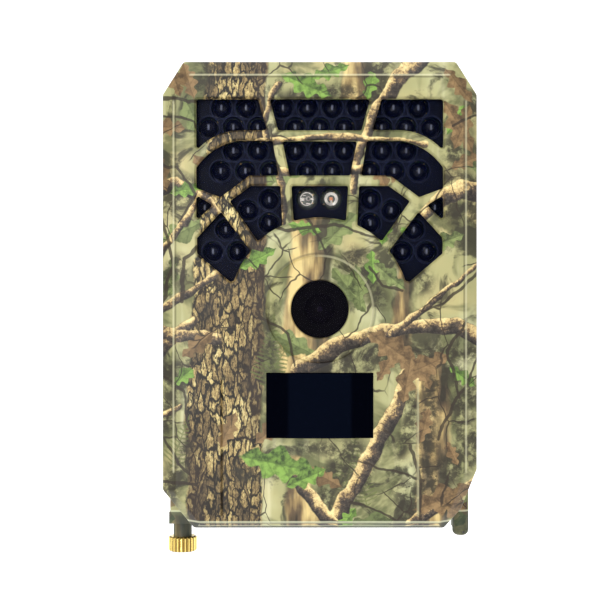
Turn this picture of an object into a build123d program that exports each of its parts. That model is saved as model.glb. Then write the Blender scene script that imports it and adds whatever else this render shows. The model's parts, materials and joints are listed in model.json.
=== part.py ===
from build123d import *
import os
from math import cos, sin, pi

# Trail camera, in millimetres. The front faces -Y and +Z is up. The origin is the mouth of the tripod
# socket in the bottom face. The case opens like a book: the front half turns about an upright pin at
# the right, and a clamp nut on an upright stud holds it shut at the left.

# Case
HALF_WIDTH = 45.6
TOP_Z = 135.3
FACE_Y = -42.0          # flat front face
BEVEL_Y = -38.3         # where the front bevel meets the sides
PARTING_Y = -18.0       # rear edge of the front shell
PARTING_GAP = 0.1
BACK_EDGE_Y = 13.5      # where the rear bevel starts
BACK_Y = 17.0           # flat back face
WALL = 2.4
EDGE_R = 1.3            # rounding of the outside edges
FRONT_WALL = 2.2
INSIDE_FACE_Y = FACE_Y + FRONT_WALL

# Hinge at the right
HINGE_X = 42.8
BARREL_R = 2.5
PIN_R = 1.0
PIN_CLEARANCE = 0.05
HINGE_POCKET = 4.4      # depth of the pocket each side of the parting plane
POCKET_X = 39.9         # inner wall of the hinge pocket
BARREL_BOTTOM_Z = -3.0
FRONT_BARREL_Z = (12.2, 40.0), (68.2, 96.0)
REAR_BARREL_Z = (BARREL_BOTTOM_Z, 12.0), (40.2, 68.0), (96.2, 123.0)
PIN_TOP_Z = 121.5
CAP_LENGTH = 2.4

# Clamp at the left
STUD_X = -42.0
STUD_Y = -15.5
STUD_R = 1.5
STUD_TOP_Z = 5.4
TAB_Z = (-1.6, 2.0)
TAB_INNER_X = -38.0
TAB_REAR_Y = -11.3
SLEEVE_R = 2.8
SLEEVE_Z = (-6.0, -1.7)
NUT_R = 4.35
NUT_Z = (-10.6, -6.0)
NUT_FLUTES = 22

# Lens, sensors and grille
LENS_Z = 63.5
LENS_OPENING_R = 8.3
RING_R = 15.6
RING_HEIGHT = 3.0
PIR_HALF_WIDTH = 15.4
PIR_Z = (26.4, 45.2)
LED_R = 2.5
LED_TIP_Y = -37.9
LED_BASE_Y = -29.6
CUP_R = 3.4
LED_ROWS = (
    (122.0, (3.6, 10.7, 21.4, 28.6)),
    (116.3, (0, 7.1, 18.0, 25.1, 32.3)),
    (109.5, (0, 7.1, 18.0, 25.1)),
    (103.6, (3.6, 14.5, 21.6, 28.8)),
    (95.3, (14.7,)),
    (93.0, (33.4,)),
    (92.2, (20.8,)),
    (88.5, (14.7,)),
    (86.6, (27.3,)),
    (80.2, (24.0, 31.0)),
)
LIGHT_SENSOR_AT = (-3.8, 95.5)
STATUS_LED_AT = (3.3, 95.5)

# Boards and inner panel
LED_BOARD_Y = (-29.4, -27.8)
MAIN_BOARD_Y = (-24.6, -23.0)
PANEL_Y = (-20.0, -18.2)
PANEL_TOP_Z = 131.0
BOARD_POSTS = [(x, z) for x in (-29, 29) for z in (9.2, 66, 129.2)]
PANEL_POSTS = [(x, z) for x in (-40.4, 35.0) for z in (22, 76, 119)]
POST_R = 2.2
SCREW_HOLE_R = 1.0
SCREW_R = 0.95

# Display, keys and card
SCREEN_X = (-33.0, 10.0)
SCREEN_Z = (91.0, 126.0)
SCREEN_FRAME = 2.5
KEYS = {
    "ok_key": (24.0, 109.0),
    "up_key": (24.0, 117.6),
    "down_key": (24.0, 100.4),
    "left_key": (15.4, 109.0),
    "right_key": (32.6, 109.0),
    "menu_key": (24.0, 88.0),
}
KEY_R = 2.9
KEY_HOLE_R = 3.15
SLIDER_AT = (-29.8, 80.5)
SLIDER_TRAVEL = 4.0
CARD_Z = 80.0
CARD_SIZE = (15.0, 0.8, 11.0)
CARD_LEFT_X = -11.0
CARD_Y = -16.6
USB_AT = (24.0, 78.5)

# Battery box
CELL_R = 7.25
CELL_LENGTH = 50.5
CELL_PITCH = 15.2
LAYER_Y = (-10.5, 4.1)
BOX_HALF_WIDTH = 31.8
BOX_REAR_Y = 9.0
BOX_Z = (12.4, 69.6)
BOX_WALL = 1.2
CONTACT_T = 0.3

# Tripod socket and tree bracket
SOCKET_R = 3.175        # quarter-inch camera thread, at its outside diameter
SOCKET_DEPTH = 9.0
INSERT_R = 5.5
INSERT_LENGTH = 10.5
BRACKET_Z = (42.0, 94.0)
EAR_X = (26.0, 33.0)
EAR_REAR_Y = 29.0
STRAP_SLOT_Z = (53.5, 82.5)
STRAP_SLOT_Y = (20.4, 25.4)
BRACKET_SCREWS = [(x, z) for x in (-19, 19) for z in (49, 87)]

LOW = (Align.CENTER, Align.CENTER, Align.MIN)


def front_plane(y):
    """Plane of a front-view sketch at depth y, seen from the front."""
    return Plane(origin=(0, y, 0), x_dir=(1, 0, 0), z_dir=(0, -1, 0))


def slab(sketch, front_y, back_y):
    """Prism of a front-view sketch between two depths."""
    return extrude(front_plane(back_y) * sketch, amount=back_y - front_y)


def disc(x, z, radius):
    return Pos(x, z) * Circle(radius)


def pane(x_low, x_high, z_low, z_high):
    return Pos((x_low + x_high) / 2, (z_low + z_high) / 2) * Rectangle(x_high - x_low, z_high - z_low)


def outline(*points):
    return make_face(Polyline(*points, close=True))


def rod(x, z, radius, front_y, back_y):
    """Cylinder along Y."""
    return slab(disc(x, z, radius), front_y, back_y)


def post(x, y, radius, z_low, z_high):
    """Upright cylinder."""
    return Pos(x, y, z_low) * Cylinder(radius, z_high - z_low, align=LOW)


def block(x_low, x_high, y_low, y_high, z_low, z_high):
    centre = Pos((x_low + x_high) / 2, (y_low + y_high) / 2, (z_low + z_high) / 2)
    return centre * Box(x_high - x_low, y_high - y_low, z_high - z_low)


def turned(points, z=LENS_Z):
    """Ring about the lens axis from (radius, y) points."""
    profile = make_face(Plane.XY * Polyline(*points, close=True))
    return Pos(0, 0, z) * revolve(profile, axis=Axis.Y)


# ---------------------------------------------------------------- case outlines

def front_outline():
    return outline(
        (-39.5, TOP_Z), (39.5, TOP_Z), (HALF_WIDTH, 125.7), (HALF_WIDTH, 17.0),
        (41.0, 5.6), (36.0, 0), (-36.5, 0), (-HALF_WIDTH, 11.0), (-HALF_WIDTH, 125.7),
    )


def face_outline():
    """The flat face inside the front bevel, with the same corners as the front outline."""
    return outline(
        (-37.2, 130.4), (37.2, 130.4), (41.6, 123.6), (41.6, 16.6),
        (37.9, 7.2), (34.0, 2.1), (-34.4, 2.1), (-41.6, 10.8), (-41.6, 123.6),
    )


def rear_outline():
    return outline(
        (-39.5, TOP_Z), (39.5, TOP_Z), (HALF_WIDTH, 125.7), (HALF_WIDTH, 17.0),
        (41.0, 5.6), (36.0, 0), (-HALF_WIDTH, 0), (-HALF_WIDTH, 125.7),
    )


def left_of(sketch, x_limit):
    return sketch & pane(-60, x_limit, -20, 150)


def inset(sketch, distance):
    return offset(sketch, -distance, kind=Kind.INTERSECTION)


# ---------------------------------------------------------------- grille

def right_windows():
    """Windows of the grille to the right of its middle. The lower ones end on arcs round the lens."""
    row_one = make_face([
        Line((15.2, 115.0), (17.8, 124.0)),
        Line((17.8, 124.0), (35.6, 124.0)),
        Line((35.6, 124.0), (35.6, 109.0)),
        ThreePointArc((35.6, 109.0), (30.0, 113.3), (23.0, 115.0)),
        Line((23.0, 115.0), (15.2, 115.0)),
    ])
    row_two = make_face([
        Line((11.9, 101.9), (13.6, 112.0)),
        Line((13.6, 112.0), (23.7, 112.0)),
        ThreePointArc((23.7, 112.0), (30.4, 109.4), (35.6, 104.3)),
        Line((35.6, 104.3), (35.6, 98.3)),
        Line((35.6, 98.3), (28.6, 95.7)),
        Line((28.6, 95.7), (20.3, 101.9)),
        Line((20.3, 101.9), (11.9, 101.9)),
    ])
    inner_cell = outline((11.3, 99.0), (19.9, 99.0), (26.0, 94.6), (17.4, 82.4), (10.6, 84.0))
    triangle = outline((35.6, 96.3), (30.8, 93.4), (35.6, 88.9))
    lower_cell = outline((28.5, 91.6), (19.0, 79.0), (22.6, 72.4), (25.8, 71.3), (35.4, 79.5), (35.4, 84.0))
    lens_disc = disc(0, LENS_Z, 26.4)
    return [row_one, row_two, inner_cell - lens_disc, triangle, lower_cell - disc(0, LENS_Z, 26.0)]


def grille_windows():
    row_one = outline((-14.5, 124.0), (14.5, 124.0), (12.0, 114.9), (-12.0, 114.9))
    row_two = outline((-10.8, 111.9), (10.8, 111.9), (8.7, 101.9), (-8.7, 101.9))
    sensor_cell = outline((-8.2, 99.0), (8.2, 99.0), (7.4, 86.0), (-7.4, 86.0)) - disc(0, LENS_Z, 26.4)
    middle = [row_one, row_two, sensor_cell]
    right = right_windows()
    left = [mirror(window, about=Plane.YZ) for window in right]
    return [fillet(window.vertices(), 0.6) for window in middle + right + left]


def window_cutters():
    """Each window cuts straight through the front wall and flares at the face."""
    flare = 0.7
    cutters = []
    for window in grille_windows():
        cutters.append(slab(window, FACE_Y - 1, INSIDE_FACE_Y + 1))
        cutters.append(extrude(front_plane(FACE_Y + flare) * window, amount=flare + 0.1, taper=-38))
    return cutters


def led_places():
    places = []
    for z, row in LED_ROWS:
        for x in row:
            places.append((x, z))
            if x:
                places.append((-x, z))
    return places


def panel_outline(margin=0.0):
    """Outline shared by the dark panel, the cup plate and the LED board."""
    side = 37.0 - margin
    shape = outline(
        (-side, 125.8 - margin), (side, 125.8 - margin), (side, 78.0 + margin),
        (27.0, 69.4 + margin), (-27.0, 69.4 + margin), (-side, 78.0 + margin),
    )
    return shape - disc(0, LENS_Z, 24.0 + margin)


# ---------------------------------------------------------------- front shell

def front_barrels():
    """Hinge knuckles of the front shell, each with its web to the wall of the hinge pocket."""
    shape = None
    for z_low, z_high in FRONT_BARREL_Z:
        web = block(HINGE_X - BARREL_R, HINGE_X + BARREL_R,
                    PARTING_Y - HINGE_POCKET - 0.3, PARTING_Y, z_low, z_high)
        knuckle = post(HINGE_X, PARTING_Y, BARREL_R, z_low, z_high) + web
        shape = knuckle if shape is None else shape + knuckle
    return shape


def closing_tab():
    """Tab below the left corner. Its slot is open at the rear, so it leaves the stud as the case opens."""
    tab = block(-HALF_WIDTH, TAB_INNER_X, -21.0, TAB_REAR_Y, *TAB_Z)
    corner = pane(-HALF_WIDTH + 0.4, -35.5, 0.2, 11.0) - inset(front_outline(), WALL)
    root = slab(corner, -21.0, PARTING_Y)
    slot_r = STUD_R + 0.4
    slot = post(STUD_X, STUD_Y, slot_r, -3, 3)
    slot += block(STUD_X - slot_r, STUD_X + slot_r, STUD_Y, TAB_REAR_Y + 1, -3, 3)
    return tab + root - slot


def lens_ring():
    """Raised ring round the lens window."""
    top_y = FACE_Y - RING_HEIGHT
    return turned([
        (LENS_OPENING_R, FACE_Y + 1.0), (RING_R, FACE_Y + 1.0), (RING_R, FACE_Y - 0.2),
        (RING_R - 0.5, FACE_Y - 0.9), (RING_R - 1.5, FACE_Y - 1.5), (13.0, FACE_Y - 2.1),
        (11.0, FACE_Y - 2.7), (9.4, top_y), (LENS_OPENING_R + 0.3, top_y),
        (LENS_OPENING_R, top_y + 0.4),
    ])


def front_inside():
    """Hollow of the front shell, stepped in at the right round the hinge pocket."""
    deep = slab(inset(front_outline(), WALL), -37.9, PARTING_Y - HINGE_POCKET - WALL)
    rim = slab(left_of(inset(front_outline(), WALL), POCKET_X - WALL),
               PARTING_Y - HINGE_POCKET - WALL - 0.1, PARTING_Y + 1)
    near_face = slab(inset(face_outline(), WALL), INSIDE_FACE_Y, -37.8)
    return deep + rim + near_face


def front_block():
    """Solid outside shape of the front shell, bevelled round the face."""
    shape = slab(front_outline(), BEVEL_Y, PARTING_Y)
    shape += loft([front_plane(BEVEL_Y) * front_outline(), front_plane(FACE_Y) * face_outline()], ruled=True)
    return fillet([edge for edge in shape.edges() if edge.center().Y < PARTING_Y - 1], EDGE_R)


def front_shell():
    shell = front_block()
    shell -= block(POCKET_X, 60, PARTING_Y - HINGE_POCKET, 0, -5, 150)
    shell -= front_inside()
    shell += closing_tab()
    shell += front_barrels()
    shell -= post(HINGE_X, PARTING_Y, PIN_R + PIN_CLEARANCE, -10, PIN_TOP_Z + 5)
    shell += lens_ring()
    for x, z in BOARD_POSTS:
        shell += rod(x, z, POST_R, INSIDE_FACE_Y - 0.5, MAIN_BOARD_Y[0])
        shell -= rod(x, z, SCREW_HOLE_R, INSIDE_FACE_Y + 4, 0)
    for x, z in PANEL_POSTS:
        shell += panel_post(x, z)
        shell -= rod(x, z, SCREW_HOLE_R, PANEL_Y[0] - 4.5, 0)
    for cutter in window_cutters():
        shell -= cutter
    shell -= rod(0, LENS_Z, LENS_OPENING_R, -60, -35)
    shell -= slab(pane(-PIR_HALF_WIDTH, PIR_HALF_WIDTH, *PIR_Z), -60, -35)
    for side in (-1, 1):
        shell -= Pos(side * 28.2, FACE_Y, 23.5) * Rot(0, 0, 45) * Box(0.6, 0.6, 39.0)
    shell -= post(-12, -30, 0.8, -2, 5)
    return shell


def panel_post(x, z):
    """Boss on a side wall that a screw of the inner panel goes into."""
    front_y = PANEL_Y[0] - 5.5
    toward_wall = -HALF_WIDTH + 1 if x < 0 else POCKET_X - 1
    web = block(min(x, toward_wall), max(x, toward_wall), front_y, PANEL_Y[0], z - POST_R, z + POST_R)
    if x > 0:
        web = block(x, toward_wall, PARTING_Y - HINGE_POCKET - WALL + 0.1, PANEL_Y[0], z - POST_R, z + POST_R)
    return rod(x, z, POST_R, front_y, PANEL_Y[0]) + web


# ---------------------------------------------------------------- rear shell

def rear_barrels():
    shape = None
    for z_low, z_high in REAR_BARREL_Z:
        web = block(HINGE_X - BARREL_R, HINGE_X + BARREL_R,
                    PARTING_Y, PARTING_Y + HINGE_POCKET + 0.3, z_low, z_high)
        knuckle = post(HINGE_X, PARTING_Y, BARREL_R, z_low, z_high) + web
        shape = knuckle if shape is None else shape + knuckle
    return shape


def seal_ring(outer_margin, inner_margin, front_y, back_y):
    sealed = left_of(front_outline(), POCKET_X)
    ring = inset(sealed, outer_margin) - inset(sealed, inner_margin)
    return slab(ring, front_y, back_y)


def rear_block():
    """Solid outside shape of the rear shell, bevelled round the back."""
    back = inset(rear_outline(), BACK_Y - BACK_EDGE_Y)
    shape = slab(rear_outline(), PARTING_Y + PARTING_GAP, BACK_EDGE_Y)
    shape += loft([front_plane(BACK_EDGE_Y) * rear_outline(), front_plane(BACK_Y) * back], ruled=True)
    return fillet([edge for edge in shape.edges() if edge.center().Y > PARTING_Y + 1], EDGE_R)


def rear_shell():
    front_y = PARTING_Y + PARTING_GAP
    pocket_y = PARTING_Y + HINGE_POCKET
    shell = rear_block()
    shell -= block(POCKET_X, 60, -40, pocket_y, -5, 150)
    hollow = inset(rear_outline(), WALL)
    shell -= slab(left_of(hollow, POCKET_X - WALL), front_y - 1, pocket_y + WALL + 0.1)
    shell -= slab(hollow, pocket_y + WALL, BACK_Y - 2.6)
    shell += lock_block()
    shell += post(0, 0, INSERT_R + 2.5, 0.5, INSERT_LENGTH + 0.2)
    shell -= post(0, 0, INSERT_R + 0.03, -1, INSERT_LENGTH + 0.02)
    shell -= block(-60, TAB_INNER_X + 0.3, -40, TAB_REAR_Y + 0.3, -5, TAB_Z[1] + 0.1)
    shell -= post(STUD_X, STUD_Y, STUD_R + 0.02, -5, STUD_TOP_Z + 0.05)
    shell -= seal_ring(0.6, 1.8, -30, front_y + 1.0)
    shell += rear_barrels()
    shell -= post(HINGE_X, PARTING_Y, PIN_R + PIN_CLEARANCE, -10, PIN_TOP_Z + 0.1)
    for x, z in BRACKET_SCREWS:
        shell += rod(x, z, 3.2, 12.0, BACK_Y - 1)
        shell -= rod(x, z, 1.3, 12.6, BACK_Y + 1)
    for z in (14.0, 24.0, 34.0, 102.0, 112.0, 122.0):
        shell += slab(pane(-32, 32, z - 1.2, z + 1.2), BACK_Y - 0.5, BACK_Y + 0.8)
    return shell


def lock_block():
    """Solid corner that holds the clamp stud, with a sloped inner side."""
    corner = outline((-HALF_WIDTH, 0), (-34.0, 0), (-34.0, 2.5), (-40.5, 11.5), (-HALF_WIDTH, 11.5))
    return slab(corner, PARTING_Y + PARTING_GAP, -8.0)


def hinge_cap():
    """Rounded plug over the lower end of the hinge pin, with a small cross hole."""
    bottom = BARREL_BOTTOM_Z - CAP_LENGTH
    cap = post(HINGE_X, PARTING_Y, BARREL_R, bottom, BARREL_BOTTOM_Z - 0.05)
    cap = fillet(cap.edges().group_by(Axis.Z)[0], 1.7)
    return cap - rod(HINGE_X + 0.7, bottom + 1.1, 0.4, -30, 0)


def thumb_nut():
    nut = post(STUD_X, STUD_Y, NUT_R, *NUT_Z)
    nut = chamfer(nut.edges().filter_by(GeomType.CIRCLE), 0.45)
    flute_r = 0.42
    for index in range(NUT_FLUTES):
        angle = 2 * pi * index / NUT_FLUTES
        flute_x = STUD_X + (NUT_R + 0.08) * cos(angle)
        flute_y = STUD_Y + (NUT_R + 0.08) * sin(angle)
        nut -= post(flute_x, flute_y, flute_r, NUT_Z[0] - 1, NUT_Z[1] + 1)
    nut -= post(STUD_X, STUD_Y, STUD_R + PIN_CLEARANCE, NUT_Z[0] - 1, NUT_Z[1] + 1)
    side_hole = Pos(STUD_X, STUD_Y, NUT_Z[0] + 1.5) * Rot(0, 90, -50) * Cylinder(0.5, 2 * NUT_R)
    side_hole &= Pos(STUD_X + 3.2, STUD_Y - 3.8, NUT_Z[0] + 1.5) * Box(4.0, 4.6, 3.0)
    return nut - side_hole


def tree_bracket():
    """Plate on the back with two upright ears. A strap passes through the ears, side to side."""
    plate = slab(pane(-EAR_X[1], EAR_X[1], *BRACKET_Z), BACK_Y, BACK_Y + 2.4)
    for side in (-1, 1):
        low, high = sorted((side * EAR_X[0], side * EAR_X[1]))
        ear = block(low, high, BACK_Y, EAR_REAR_Y, *BRACKET_Z)
        ear -= block(low - 1, high + 1, *STRAP_SLOT_Y, *STRAP_SLOT_Z)
        plate += ear
        for step in range(6):
            notch = Pos((low + high) / 2, EAR_REAR_Y + 0.6, 47 + step * 8.4) * Rot(45, 0, 0)
            plate -= notch * Box(9, 2.2, 2.2)
    for x, z in BRACKET_SCREWS:
        plate -= rod(x, z, 1.7, BACK_Y - 1, BACK_Y + 4)
    return plate


def bark_pads():
    pads = []
    for side in (-1, 1):
        low, high = sorted((side * (EAR_X[0] - 1.6), side * EAR_X[0]))
        pads.append(block(low, high, BACK_Y + 2.5, EAR_REAR_Y - 0.8, 44, 52.5))
        pads.append(block(low, high, BACK_Y + 2.5, EAR_REAR_Y - 0.8, 83.5, 92))
    return Compound(pads)


def screw(head_r, head_t, shank_r, shank_length):
    """Screw pointing towards -Y with its head's underside at the origin."""
    head = rod(0, 0, head_r, 0, head_t)
    head -= block(-head_r * 0.62, head_r * 0.62, head_t * 0.5, head_t + 1, -0.25, 0.25)
    head -= block(-0.25, 0.25, head_t * 0.5, head_t + 1, -head_r * 0.62, head_r * 0.62)
    return head + rod(0, 0, shank_r, -shank_length, 0.01)


def screws(places, y, *sizes):
    return Compound([Pos(x, y, z) * screw(*sizes) for x, z in places])


# ---------------------------------------------------------------- lighting and sensors

def led(tip_y, radius):
    """Domed LED pointing towards -Y at x = z = 0."""
    centre_y = tip_y + radius
    body = rod(0, 0, radius, centre_y, LED_BASE_Y) + Pos(0, centre_y, 0) * Sphere(radius)
    return body + rod(0, 0, radius + 0.35, LED_BASE_Y - 1, LED_BASE_Y)


def cup_plate():
    """Dark plate with one round cup for each LED, standing proud of the plate as a thin rim."""
    plate = slab(panel_outline(0.6), -36.9, -34.4)
    rims = Sketch() + [disc(x, z, CUP_R + 0.12) for x, z in led_places()]
    plate += slab(rims, -37.5, -36.8)
    for x, z in led_places():
        plate -= rod(x, z, CUP_R - 0.28, -40, -30)
    for x, z in (LIGHT_SENSOR_AT, STATUS_LED_AT):
        plate -= rod(x, z, 3.25, -40, -30)
    return plate


def ir_leds():
    lamp = led(LED_TIP_Y, LED_R)
    return Compound([Pos(x, 0, z) * lamp for x, z in led_places()])


def lens_barrel():
    barrel = rod(0, LENS_Z, 7.2, -43.2, -38.0) + rod(0, LENS_Z, 6.0, -38.1, -30.6)
    barrel -= rod(0, LENS_Z, 4.6, -50, -41.2)
    barrel -= rod(0, LENS_Z, 2.2, -50, -20)
    return barrel - rod(0, LENS_Z, 4.0, -34.0, -20)


def lens_holder():
    holder = block(-9, 9, -33.2, -27.7, LENS_Z - 9, LENS_Z + 9)
    holder += rod(0, LENS_Z, 7.6, -36.5, -33.1)
    holder -= rod(0, LENS_Z, 6.05, -50, -30.5)
    holder -= slab(pane(-6.5, 6.5, LENS_Z - 5, LENS_Z + 5), -30.6, -20)
    return holder - block(-20, 20, -30.5, -29.2, LENS_Z - 4.4, LENS_Z + 4.4)


def pir_lens():
    """Window bowed about an upright axis, with a flange behind the front wall."""
    bow = 2.0
    edge_y = FACE_Y - 0.3
    half = PIR_HALF_WIDTH - 0.12
    low, high = PIR_Z[0] + 0.12, PIR_Z[1] - 0.12
    radius = (half ** 2 + bow ** 2) / (2 * bow)
    centre_y = edge_y - bow + radius
    body = post(0, centre_y, radius, low, high) & block(-half, half, -50, INSIDE_FACE_Y + 0.3, low, high)
    body += block(-half - 1.5, half + 1.5, INSIDE_FACE_Y + 0.1, INSIDE_FACE_Y + 1.1, low - 1.5, high + 1.5)
    inner = post(0, centre_y, radius - 1.4, low + 1.4, high - 1.4)
    inner &= block(-half + 1.4, half - 1.4, -50, -30, low, high)
    return body - inner


def pir_cone():
    centre = (PIR_Z[0] + PIR_Z[1]) / 2
    front = slab(pane(-15, 15, centre - 9, centre + 9), -38.5, -37.5)
    cone = front + rod(0, centre, 7.6, -37.6, -30.2)
    return cone - rod(0, centre, 6.4, -50, -20)


def pir_sensor():
    centre = (PIR_Z[0] + PIR_Z[1]) / 2
    can = rod(0, centre, 4.6, -33.2, -29.4) + rod(0, centre, 5.1, -29.8, -29.0)
    return can - slab(pane(-2, 2, centre - 1.5, centre + 1.5), -34, -33.0)


# ---------------------------------------------------------------- boards, display and keys

def main_board():
    plate = slab(pane(-32.6, 32.6, 6.2, 132.0), *MAIN_BOARD_Y)
    for x, z in BOARD_POSTS:
        plate -= rod(x, z, SCREW_R + 0.1, -30, -20)
    return plate


def inner_panel():
    """Cover behind the boards, with openings for the display, keys, switch and sockets."""
    inside = inset(left_of(front_outline(), POCKET_X), WALL + 0.3)
    plate = slab(inside & pane(-60, 60, 3.0, PANEL_TOP_Z), *PANEL_Y)
    plate -= slab(pane(SCREEN_X[0] + SCREEN_FRAME, SCREEN_X[1] - SCREEN_FRAME,
                       SCREEN_Z[0] + SCREEN_FRAME, SCREEN_Z[1] - SCREEN_FRAME), -30, 0)
    for x, z in KEYS.values():
        plate -= rod(x, z, KEY_HOLE_R, -30, 0)
    for x, z in PANEL_POSTS:
        plate -= rod(x, z, SCREW_R + 0.15, -30, 0)
    x, z = SLIDER_AT
    plate -= slab(pane(x - 2.4, x + 2.4 + SLIDER_TRAVEL, z - 1.7, z + 1.7), -30, 0)
    x, z = USB_AT
    plate -= slab(pane(x - 4.4, x + 4.4, z - 2.0, z + 2.0), -30, 0)
    return plate


def key(x, z):
    cap = rod(x, z, KEY_R, -21.2, -17.0)
    cap = fillet(cap.edges().group_by(Axis.Y)[-1], 0.5)
    return cap + rod(x, z, KEY_R + 0.9, -21.6, -20.6)


def key_switches():
    return Compound([block(x - 2.6, x + 2.6, -23.0, -22.2, z - 2.6, z + 2.6) for x, z in KEYS.values()])


def power_slider():
    x, z = SLIDER_AT
    cap = block(x - 2.1, x + 2.1, -20.9, -16.8, z - 1.4, z + 1.4)
    for ridge in (-1.2, 0, 1.2):
        cap -= block(x + ridge - 0.2, x + ridge + 0.2, -17.2, -16, z - 2, z + 2)
    return cap


def card_slot():
    """Metal cage open at the left, where the memory card slides in."""
    left, right = CARD_LEFT_X + 2.5, CARD_LEFT_X + CARD_SIZE[0] + 2
    low, high = CARD_Z - CARD_SIZE[2] / 2 - 1.2, CARD_Z + CARD_SIZE[2] / 2 + 1.2
    cage = block(left, right, PANEL_Y[1], CARD_Y + 1.0, low, high)
    gap = 0.25
    return cage - block(left - 1, CARD_LEFT_X + CARD_SIZE[0] + gap,
                        CARD_Y - CARD_SIZE[1] / 2 - gap, CARD_Y + CARD_SIZE[1] / 2 + gap,
                        CARD_Z - CARD_SIZE[2] / 2 - gap, CARD_Z + CARD_SIZE[2] / 2 + gap)


def memory_card():
    length, thickness, width = CARD_SIZE
    card = block(CARD_LEFT_X, CARD_LEFT_X + length, CARD_Y - thickness / 2, CARD_Y + thickness / 2,
                 CARD_Z - width / 2, CARD_Z + width / 2)
    return card - block(CARD_LEFT_X + 9, CARD_LEFT_X + length + 1, CARD_Y - 1, CARD_Y + 1,
                        CARD_Z + width / 2 - 1.2, CARD_Z + width)


def usb_socket():
    x, z = USB_AT
    shell = block(x - 4, x + 4, -23.0, -17.2, z - 1.6, z + 1.6)
    shell -= block(x - 3.6, x + 3.6, -22.4, -16, z - 1.2, z + 1.2)
    return shell + block(x - 2.8, x + 2.8, -22.6, -17.9, z - 0.3, z + 0.3)


def board_headers():
    """Plugs that join the boards to each other and to the battery box."""
    return Compound([
        block(-8, 8, LED_BOARD_Y[1], MAIN_BOARD_Y[0], 104, 108),
        block(-6, 6, -26.3, MAIN_BOARD_Y[0], LENS_Z - 6, LENS_Z - 2),
        block(-5, 5, -27.4, MAIN_BOARD_Y[0], 30, 34),
        block(-4, 4, MAIN_BOARD_Y[1], PANEL_Y[0], 14, 20),
    ])


# ---------------------------------------------------------------- battery box

def bay_places():
    return [((index - 1.5) * CELL_PITCH, y) for y in LAYER_Y for index in range(4)]


def battery_box():
    box = block(-BOX_HALF_WIDTH, BOX_HALF_WIDTH, PANEL_Y[1], BOX_REAR_Y, *BOX_Z)
    box -= block(-BOX_HALF_WIDTH + BOX_WALL, BOX_HALF_WIDTH - BOX_WALL,
                 PANEL_Y[1] - 1, BOX_REAR_Y + 1, BOX_Z[0] + BOX_WALL, BOX_Z[1] - BOX_WALL)
    floor = block(-BOX_HALF_WIDTH + 0.5, BOX_HALF_WIDTH - 0.5, PANEL_Y[1], PANEL_Y[1] + 0.3,
                  BOX_Z[0] + 0.5, BOX_Z[1] - 0.5)
    box += floor
    for index in (-1, 0, 1):
        rib_x = index * CELL_PITCH
        box += block(rib_x - 0.3, rib_x + 0.3, PANEL_Y[1] + 0.1, -1.0, BOX_Z[0] + 0.5, BOX_Z[0] + 6)
        box += block(rib_x - 0.3, rib_x + 0.3, PANEL_Y[1] + 0.1, -1.0, BOX_Z[1] - 6, BOX_Z[1] - 0.5)
    for side in (-1, 1):
        wall_x = side * BOX_HALF_WIDTH
        box -= block(wall_x - 3, wall_x + 3, BOX_REAR_Y - 6, BOX_REAR_Y + 1, 34, 48)
    return box


def cell_bottom_z():
    return BOX_Z[1] - BOX_WALL - CONTACT_T - CELL_LENGTH - 0.05


def battery_cells():
    """Each cell is a can with a small end button at its top."""
    cells = []
    low = cell_bottom_z()
    for x, y in bay_places():
        can = post(x, y, CELL_R, low, low + CELL_LENGTH - 1.2) + post(x, y, 2.75, low, low + CELL_LENGTH)
        cells.append(can)
    return Compound(cells)


def contact_plates():
    plates = []
    for x, y in bay_places():
        for z in (BOX_Z[0] + BOX_WALL, BOX_Z[1] - BOX_WALL - CONTACT_T):
            plates.append(block(x - 5, x + 5, y - 5, y + 5, z, z + CONTACT_T))
    return Compound(plates)


def contact_springs():
    """Hollow cones that stand for the conical wire springs under the cells."""
    springs = []
    low = BOX_Z[0] + BOX_WALL + CONTACT_T
    height = cell_bottom_z() - low - 0.02
    for x, y in bay_places():
        cone = Pos(x, y, low) * Cone(4.2, 2.6, height, align=LOW)
        springs.append(cone - Pos(x, y, low) * Cone(3.6, 2.0, height, align=LOW))
    return Compound(springs)


# ---------------------------------------------------------------- nodes

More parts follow.
